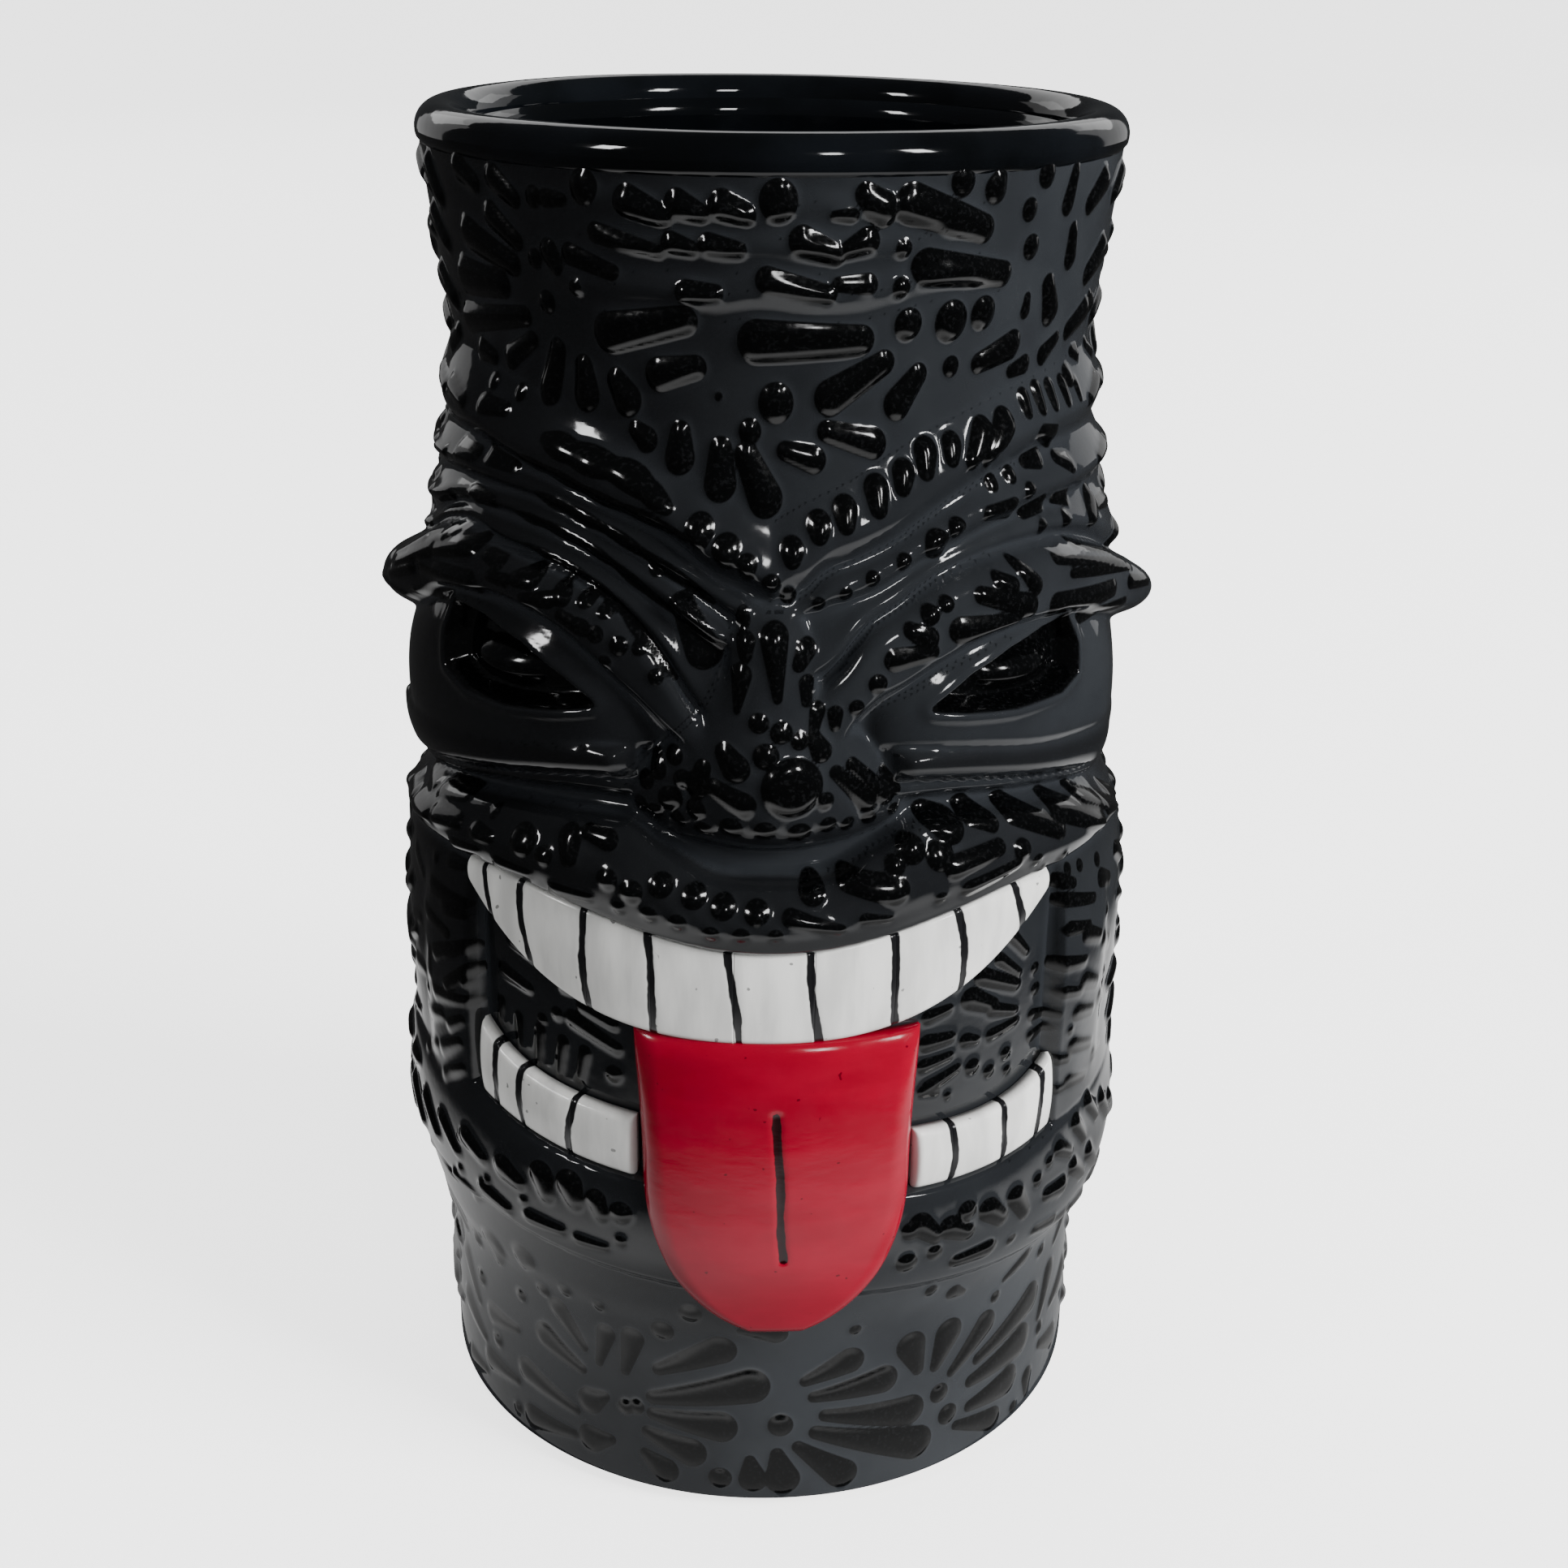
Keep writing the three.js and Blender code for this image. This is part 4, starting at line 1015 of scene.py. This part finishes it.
GLAZE = wall_glaze()
RIM_GLAZE = plain_glaze("smooth_black_glaze", 60)
INSIDE_GLAZE = plain_glaze("inside_black_glaze", 45)
TEETH_ENAMEL = enamel(
    "white_tooth_enamel", (0.80, 0.80, 0.775), (0.60, 0.60, 0.585), (0.008, 0.008, 0.009),
    (1, 1, 0.22), (0.13, 0.26),
)
TONGUE_ENAMEL = enamel(
    "red_tongue_enamel", (0.275, 0.0, 0.016), (0.235, 0.0, 0.013), (0.012, 0.0, 0.001),
    (0.35, 0.35, 1.0), (0.11, 0.20),
)
FOOT_CLAY = bare_clay()


# ---- the wall, as rings that lie under the face's parts, and the parts themselves ----

def sheet_quads(rows, cols, wrap):
    """Quads of a grid of points, facing out."""
    last = cols if wrap else cols - 1
    j, i = np.meshgrid(np.arange(rows - 1), np.arange(last), indexing="ij")
    nxt = (i + 1) % cols
    corners = [j * cols + i, j * cols + nxt, (j + 1) * cols + nxt, (j + 1) * cols + i]
    return np.stack(corners, -1).reshape(-1, 4)


def interior(mask):
    """Places whose neighbours all belong to the same part."""
    out = mask.copy()
    for dj in (-1, 0, 1):
        for di in (-1, 0, 1):
            moved = np.roll(np.roll(mask, dj, 0), di, 1)
            out &= moved
    return out


SUNK_AT_EDGE = 0.5
SUNK_INSIDE = 0.9
PART_THICKNESS = 2.0
sunk = np.zeros_like(radius)
for k in range(1, len(PARTS)):
    core = interior(part == k)
    sunk[core] = SUNK_AT_EDGE
    sunk[interior(core)] = SUNK_INSIDE
under_radius = radius - sunk
under = round_axis(under_radius, ang_rad, Z)

WALL_INSET = 2.6
RINGS = ["base", "jaw", "mouth", "eyes", "forehead"]
edges = np.linspace(0, ROWS, len(RINGS) + 1).astype(int)
for name, j0, j1 in zip(RINGS, edges, edges[1:]):
    rows = j1 - j0 + 1
    front = under[j0:j1 + 1].reshape(-1, 3)
    back = round_axis(base - WALL_INSET, ang_rad, Z)[[j0, j1]].reshape(-1, 3)
    verts = np.concatenate([front, back])
    quads = sheet_quads(rows, COLUMNS, True)
    first_back = rows * COLUMNS
    i = np.arange(COLUMNS)
    n = (i + 1) % COLUMNS
    top = (rows - 1) * COLUMNS
    low_back, top_back = first_back, first_back + COLUMNS
    closing = np.concatenate([
        np.stack([low_back + i, low_back + n, n, i], -1),
        np.stack([top + i, top + n, top_back + n, top_back + i], -1),
        np.stack([top_back + i, top_back + n, low_back + n, low_back + i], -1),
    ])
    quads = np.concatenate([quads, closing])
    inward = -normals[[j0, j1]].reshape(-1, 3)
    build(
        f"cup_wall_{name}", verts, quads, ["cup_body"], GLAZE,
        np.concatenate([normals[j0:j1 + 1].reshape(-1, 3), inward]),
        {
            key: np.concatenate([values[j0:j1 + 1].ravel(), np.full(2 * COLUMNS, behind)])
            for key, (values, behind) in GLAZE_FIELDS.items()
        },
    )


def relief_part(name):
    """One clay part of the face: the wall's relief where the part lies, closed behind."""
    mask = part == PARTS.index(name)
    right = np.roll(mask, -1, 1)
    cells = mask[:-1] & right[:-1] & mask[1:] & right[1:]
    j, i = np.nonzero(cells)
    n = (i + 1) % COLUMNS
    quads = np.stack([j * COLUMNS + i, j * COLUMNS + n, (j + 1) * COLUMNS + n, (j + 1) * COLUMNS + i], -1)
    used, renumbered = np.unique(quads, return_inverse=True)
    quads = renumbered.reshape(-1, 4)
    count = len(used)
    front = outer.reshape(-1, 3)[used]
    normal = normals.reshape(-1, 3)[used]
    sunk_radius = (radius - PART_THICKNESS).ravel()[used]
    back = round_axis(sunk_radius, ang_rad.ravel()[used], Z.ravel()[used])
    sides = np.concatenate([quads[:, [0, 1]], quads[:, [1, 2]], quads[:, [2, 3]], quads[:, [3, 0]]])
    key = sides[:, 0].astype(np.int64) * count + sides[:, 1]
    twin = sides[:, 1].astype(np.int64) * count + sides[:, 0]
    border = sides[~np.isin(key, twin)]
    skirt = np.stack([border[:, 1], border[:, 0], border[:, 0] + count, border[:, 1] + count], -1)
    all_quads = np.concatenate([quads, quads[:, ::-1] + count, skirt])
    fields = {key: np.tile(values.ravel()[used], 2) for key, (values, _) in GLAZE_FIELDS.items()}
    build(
        f"{name}_relief", np.concatenate([front, back]), all_quads, [name], GLAZE,
        np.concatenate([normal, -normal]), fields,
    )


for name in PARTS[1:]:
    relief_part(name)


# ---- turned pieces: the cup's inside, the rim and the foot ----

def turned(name, profile, nodes, material, segments=240, waver=0.0):
    """A ring turned round the axis from a closed outline of (radius, height) points."""
    profile = np.asarray(profile, float)
    count = len(profile)
    theta = 2 * math.pi * np.arange(segments) / segments
    wave = waver * (np.sin(2 * theta + 0.7) + 0.6 * np.sin(3 * theta + 2.1) + 0.35 * np.sin(7 * theta))
    r = profile[None, :, 0] + np.zeros((segments, 1))
    z = profile[None, :, 1] + wave[:, None]
    verts = round_axis(r, theta[:, None], z).reshape(-1, 3)
    i, k = np.meshgrid(np.arange(segments), np.arange(count), indexing="ij")
    i2, k2 = (i + 1) % segments, (k + 1) % count
    quads = np.stack([i * count + k, i2 * count + k, i2 * count + k2, i * count + k2], -1).reshape(-1, 4)
    build(name, verts, quads, nodes, material)


def arc(cx, cz, radius_x, radius_z, start, stop, count):
    t = np.radians(np.linspace(start, stop, count))
    return [(cx + radius_x * math.cos(x), cz + radius_z * math.sin(x)) for x in t]


rim_outline = (
    [(38.6, 165.0), (39.8, 165.0), (40.75, 165.25)]
    + arc(38.75, 167.0, 2.82, 2.85, -18, 90, 18)
    + arc(38.55, 167.0, 2.85, 2.85, 92, 178, 16)
    + [(35.6, 165.8), (35.75, 165.0), (37, 165.0)]
)
turned("rim_band_glazed", rim_outline, ["rim_band"], RIM_GLAZE, 320, 0.06)

inside_curve = curve([
    (10, 36.4), (16, 39.3), (30, 40.2), (80, 40.2), (100, 38.8), (122, 37.1), (144, 34.5), (156, 35.1),
    (167.5, 35.62),
])
core_outline = [(0.05, 8.0), (12, 8.0), (24, 8.05), (30, 8.2), (33.6, 8.8), (35.4, 9.6)]
core_outline += [(float(inside_curve(z)), z) for z in np.linspace(11, 167.0, 70)]
core_outline += [(36.6, 167.0)]
core_outline += [(float(curve(WALL)(z)) - WALL_INSET - 0.3, z) for z in np.linspace(165, 4, 40)]
core_outline += [(39, 2.15), (30, 2.3), (0.05, 2.3)]
turned("cup_inside_glazed", core_outline[::-1], ["cup_body"], INSIDE_GLAZE, 240)

foot_outline = [
    (34.1, 2.2), (34.1, 0.55), (34.5, 0.12), (35.0, 0.0), (40.9, 0.0), (41.7, 0.25), (42.1, 0.9),
    (42.2, 2.2),
]
turned("foot_ring_unglazed", foot_outline[::-1], ["foot_ring"], FOOT_CLAY, 240)


# ---- teeth and tongue, as rounded slabs with their own fine grids ----

def slab(name, place, outer_of, inner_of, cols, rows, nodes, material, line_of):
    """A closed slab. place(u, v) gives (angle, z) and the two radius functions take (angle, z, u, v)."""
    u = np.sin(np.linspace(-1, 1, cols) * math.pi / 2) * 0.5 + np.linspace(-1, 1, cols) * 0.5
    v = (np.sin(np.linspace(-1, 1, rows) * math.pi / 2) * 0.5 + np.linspace(-1, 1, rows) * 0.5 + 1) / 2
    U, V = np.meshgrid(u, v)
    a, z = place(U, V)
    sheets = []
    for reach in (outer_of, inner_of):
        sheets.append(round_axis(reach(a, z, U, V), np.radians(a), z).reshape(-1, 3))
    count = rows * cols
    front = sheet_quads(rows, cols, False)
    i = np.arange(cols - 1)
    j = np.arange(rows - 1)
    top = (rows - 1) * cols
    low_side = np.stack([count + i, count + i + 1, i + 1, i], -1)
    top_side = np.stack([top + i, top + i + 1, count + top + i + 1, count + top + i], -1)
    left = j * cols
    right = left + cols - 1
    left_side = np.stack([count + left, left, left + cols, count + left + cols], -1)
    right_side = np.stack([right, count + right, count + right + cols, right + cols], -1)
    quads = np.concatenate([front, front[:, ::-1] + count, low_side, top_side, left_side, right_side])
    line = np.tile(line_of(a, z).ravel(), 2)
    build(name, np.concatenate(sheets), quads, nodes, material, None, {"line": line})


UPPER_BORDERS = [-50, -45, -37.5, -27, -17, -5.2, 6.1, 17.7, 28, 38.4, 45]
LOWER_LEFT_BORDERS = [-49, -45, -39.5, -30.2, -20]
LOWER_RIGHT_BORDERS = [22, 28.2, 38, 46, 49.5]
TOOTH_RADIUS = 46.75
TOOTH_REAR = 45.1
TOOTH_DEPTH = 0.9
TOOTH_CELL = 0.28


def upper_bottom(a):
    return 69.8 + 14 * clamp(np.abs(a + 2.75) / 47.75) ** 2.8


def upper_top(a):
    return 81.4 + 4.6 * step(np.abs(a), 0, 45) + 0.4


def lower_top(a):
    return 57.4 + 4.6 * (np.abs(a) / 49) ** 6 + jaw_tilt(a)


def lower_bottom(a):
    return teeth_floor(a) - 0.4


def tooth_row(prefix, borders, low_of, high_of, lean):
    """A row of teeth cut from one convex band, with a painted line on each border."""
    first, last = borders[0], borders[-1]

    def border_line(a, z):
        best = np.full(a.shape, 9.0)
        for k, b in enumerate(borders[1:-1]):
            share = (z - low_of(a)) / np.maximum(high_of(a) - low_of(a), 0.5)
            wander = 0.35 * np.sin(share * 4.0 + 1.7 * k) + lean * (share - 0.5)
            best = np.minimum(best, np.abs(a - b - wander) * MM_PER_DEGREE)
        return best

    for k in range(len(borders) - 1):
        a0, a1 = borders[k], borders[k + 1]

        def place(u, v, a0=a0, a1=a1):
            a = (a0 + a1) / 2 + (a1 - a0) / 2 * u
            low, high = low_of(a), high_of(a)
            return a, low + (high - low) * v

        def face(a, z, u, v):
            low, high = low_of(a), high_of(a)
            ends = np.minimum(a - first, last - a) * MM_PER_DEGREE
            round_low = round_shoulder(z - low, 0.9)
            round_high = round_shoulder(high - z, 0.8)
            round_end = round_shoulder(ends, 0.8)
            swell = 0.55 * np.sin(math.pi * clamp((z - low) / (high - low))) ** 0.8
            crease = 0.10 * np.exp(-(border_line(a, z) / 0.4) ** 2)
            rounded = round_low * (0.3 + 0.7 * round_high) * round_end
            return TOOTH_RADIUS - TOOTH_DEPTH + (TOOTH_DEPTH + swell) * rounded - crease

        def rear(a, z, u, v):
            return np.full(a.shape, TOOTH_REAR)

        width = max(8, int((a1 - a0) * MM_PER_DEGREE / TOOTH_CELL))
        slab(
            f"{prefix}_{k + 1}_enamel", place, face, rear, width, 44,
            [f"{prefix}_{k + 1}"], TEETH_ENAMEL, border_line,
        )


tooth_row("upper_tooth", UPPER_BORDERS, upper_bottom, upper_top, -1.2)
tooth_row("lower_tooth_left", LOWER_LEFT_BORDERS, lower_bottom, lower_top, 0.5)
tooth_row("lower_tooth_right", LOWER_RIGHT_BORDERS, lower_bottom, lower_top, 0.5)

TONGUE_MIDDLE = 1.2
TONGUE_HALF = 21.6
TONGUE_TOP = 70.2
TONGUE_TIP = 29.8
TONGUE_STRAIGHT = 50.0
LINE_TOP = 61.5
LINE_BOTTOM = 42.2


def tongue_share(z):
    down = clamp((TONGUE_STRAIGHT - z) / (TONGUE_STRAIGHT - TONGUE_TIP))
    taper = 1.0 - 0.0045 * (TONGUE_TOP - z)
    return taper * np.sqrt(clamp(1 - down**2.15, 0.0008, 1))


def tongue_place(u, v):
    z = TONGUE_TIP + (TONGUE_TOP - TONGUE_TIP) * v
    return TONGUE_MIDDLE + u * TONGUE_HALF * tongue_share(z), z


tongue_spine = curve([
    (29, 47.6), (33, 48.6), (38, 49.25), (43, 49.4), (50, 49.15), (58, 48.75), (65, 48.2), (71, 47.2),
])
tongue_root = curve([(29, 44.0), (34, 45.6), (40, 46.6), (50, 46.2), (56, 45.2), (71, 45.1)])


def tongue_face(a, z, u, v):
    across = np.abs(a - TONGUE_MIDDLE) * MM_PER_DEGREE
    edge = TONGUE_HALF * tongue_share(z) * MM_PER_DEGREE - across
    low_edge = z - TONGUE_TIP
    inset = np.minimum(edge, low_edge * 1.6)
    rounded = round_shoulder(inset, 3.4)
    top_round = 0.35 + 0.65 * round_shoulder(TONGUE_TOP - z, 2.4)
    crown = 0.35 * (across / 16.0) ** 2
    groove = 0.28 * np.exp(-(tongue_line(a, z) / 0.45) ** 2)
    root = tongue_root(z) + 0.4
    return root + (tongue_spine(z) - crown - root) * rounded * top_round - groove


def tongue_line(a, z):
    middle = 1.0 + (LINE_TOP - z) / 19.5 + 0.1 * np.sin(z * 0.5)
    beyond = np.maximum(np.maximum(z - LINE_TOP, LINE_BOTTOM - z), 0)
    return np.hypot((a - middle) * MM_PER_DEGREE, beyond)


slab(
    "tongue_enamel", tongue_place, tongue_face, lambda a, z, u, v: tongue_root(z) - 0.6, 110, 150,
    ["tongue"], TONGUE_ENAMEL, tongue_line,
)

# ---- floor, light and camera ----

FLAT_FLOOR = 2.0
FLOOR_EDGE = 3.0
RING_POINTS = 128


def only_for(obj, *kinds):
    for kind in ("camera", "diffuse", "glossy", "shadow", "transmission", "volume_scatter"):
        setattr(obj, "visible_" + kind, kind in kinds)


def ring_mesh(name, rings):
    """A round sheet through rings given as (radius, height)."""
    count = RING_POINTS
    verts, quads = [], []
    for r, z in rings:
        for k in range(count):
            t = 2 * math.pi * k / count
            verts.append((r * math.sin(t), -r * math.cos(t), z))
    for ring in range(len(rings) - 1):
        for k in range(count):
            n = (k + 1) % count
            quads.append((ring * count + k, (ring + 1) * count + k, (ring + 1) * count + n, ring * count + n))
    mesh = bpy.data.meshes.new(name)
    mesh.from_pydata(verts, [], quads)
    mesh.shade_smooth()
    obj = bpy.data.objects.new(name, mesh)
    bpy.context.scene.collection.objects.link(obj)
    return obj, mesh


def floor(name, tones, height, glow=0.0):
    """A pale studio bowl: flat under the mug and curving up far away all round."""
    rise = FLOOR_EDGE - FLAT_FLOOR
    rings = [(0.0001, height), (0.3, height), (FLAT_FLOOR, height)]
    for t in np.linspace(0.1, math.pi / 2, 14):
        rings.append((FLAT_FLOOR + rise * math.sin(t), height + rise - rise * math.cos(t)))
    rings.append((FLOOR_EDGE, 5.0))
    obj, mesh = ring_mesh(name, rings)
    material, tree, shader = new_material(name)
    tree.links.new(mix(tree, remap(tree, noise(tree, 700, 3), 0.3, 0.7), *tones), shader.inputs["Base Color"])
    shader.inputs["Roughness"].default_value = 0.9
    shader.inputs["Specular IOR Level"].default_value = 0.0
    shader.inputs["Emission Color"].default_value = (1.0, 1.0, 1.0, 1.0)
    shader.inputs["Emission Strength"].default_value = glow
    mesh.materials.append(material)
    return obj


# The paper that the camera sees is brighter than what bounces back to the mug.
paper = floor("studio_floor", ((0.94, 0.94, 0.94), (0.97, 0.97, 0.97)), 0.0, 2.2)
only_for(paper, "camera")
bounce = floor("studio_floor_bounce", ((0.30, 0.30, 0.30), (0.34, 0.34, 0.34)), -0.0006)
only_for(bounce, "diffuse")


def area_light(name, place, target, width, height, watts):
    data = bpy.data.lights.new(name, "AREA")
    data.shape = "RECTANGLE"
    data.size = width
    data.size_y = height
    data.energy = watts
    obj = bpy.data.objects.new(name, data)
    bpy.context.scene.collection.objects.link(obj)
    obj.location = place
    direction = Vector(target) - Vector(place)
    obj.rotation_euler = direction.to_track_quat("-Z", "Y").to_euler()
    return obj


# Glossy rays alone meet this disc: past the bright paper near the foot the room is dark.
def dark_room_floor():
    obj, mesh = ring_mesh("dark_room_floor", [(0.045, 0.0004), (0.5, 0.0004), (FLOOR_EDGE, 0.0004)])
    material = bpy.data.materials.new("dark_room_floor")
    material.use_nodes = True
    tree = material.node_tree
    tree.nodes.remove(tree.nodes["Principled BSDF"])
    glow = tree.nodes.new("ShaderNodeEmission")
    place = tree.nodes.new("ShaderNodeTexCoord")
    shifted = vector_node(tree, "SUBTRACT", place.outputs["Object"], (0.02, 0.0, 0.0))
    distance = vector_node(tree, "LENGTH", shifted)
    near = remap(tree, distance, 0.070, 0.110, 0.45, 1.15)
    narrowed = vector_node(tree, "MULTIPLY", shifted, (1.15, 1.0, 1.0))
    far = remap(tree, vector_node(tree, "LENGTH", narrowed), 0.125, 0.185, 1.0, 0.03)
    fade = math_node(tree, "MULTIPLY", near, far)
    tree.links.new(fade, glow.inputs["Strength"])
    tree.links.new(glow.outputs["Emission"], tree.nodes["Material Output"].inputs["Surface"])
    mesh.materials.append(material)
    only_for(obj, "glossy")


dark_room_floor()

MIDDLE = (0, 0, 0.085)
area_light("window_left", (-1.10, -0.70, 1.00), MIDDLE, 0.19, 0.30, 5)
area_light("window_right", (0.98, -0.84, 1.05), MIDDLE, 0.20, 0.30, 7)
area_light("window_middle", (0.42, -1.25, 1.00), MIDDLE, 0.15, 0.20, 2.5)
area_light("wall_left", (-1.0, 1.2, 0.35), MIDDLE, 0.8, 1.2, 1.4)
area_light("wall_right", (1.0, 1.2, 0.35), MIDDLE, 0.8, 1.2, 1.7)
area_light("wall_back", (0.0, 1.8, 1.1), MIDDLE, 3.4, 0.8, 10)
ceiling = area_light("ceiling", (0, 0.35, 1.9), (0, 0, 0), 3.2, 3.2, 23)
ceiling.visible_glossy = False
key = area_light("soft_key", (1.8, -0.85, 0.8), MIDDLE, 0.9, 0.9, 98)
key.visible_glossy = False

world = bpy.data.worlds.new("studio_air")
bpy.context.scene.world = world
world.use_nodes = True
world.node_tree.nodes["Background"].inputs["Color"].default_value = (0.93, 0.96, 1.0, 1.0)
world.node_tree.nodes["Background"].inputs["Strength"].default_value = 0.05

CAMERA_DISTANCE = 0.260
CAMERA_HEIGHT = 0.1913
CAMERA_AZIMUTH = math.radians(-1.5)
CAMERA_PITCH = math.radians(22.6)
CAMERA_ROLL = math.radians(0.77)
CAMERA_SIDESTEP = 0.0024

camera_data = bpy.data.cameras.new("photo_camera")
camera_data.sensor_width = 36.0
camera_data.lens = 48.75
camera_data.clip_start = 0.01
camera_data.clip_end = 50
camera = bpy.data.objects.new("photo_camera", camera_data)
bpy.context.scene.collection.objects.link(camera)
sideways = (math.cos(CAMERA_AZIMUTH), math.sin(CAMERA_AZIMUTH))
camera.location = (
    CAMERA_DISTANCE * math.sin(CAMERA_AZIMUTH) + CAMERA_SIDESTEP * sideways[0],
    -CAMERA_DISTANCE * math.cos(CAMERA_AZIMUTH) + CAMERA_SIDESTEP * sideways[1],
    CAMERA_HEIGHT,
)
camera.rotation_mode = "QUATERNION"
aim = Matrix.Rotation(CAMERA_AZIMUTH, 4, "Z") @ Matrix.Rotation(math.pi / 2 - CAMERA_PITCH, 4, "X")
aim = aim @ Matrix.Rotation(CAMERA_ROLL, 4, "Z")
camera.rotation_quaternion = aim.to_quaternion()
bpy.context.scene.camera = camera
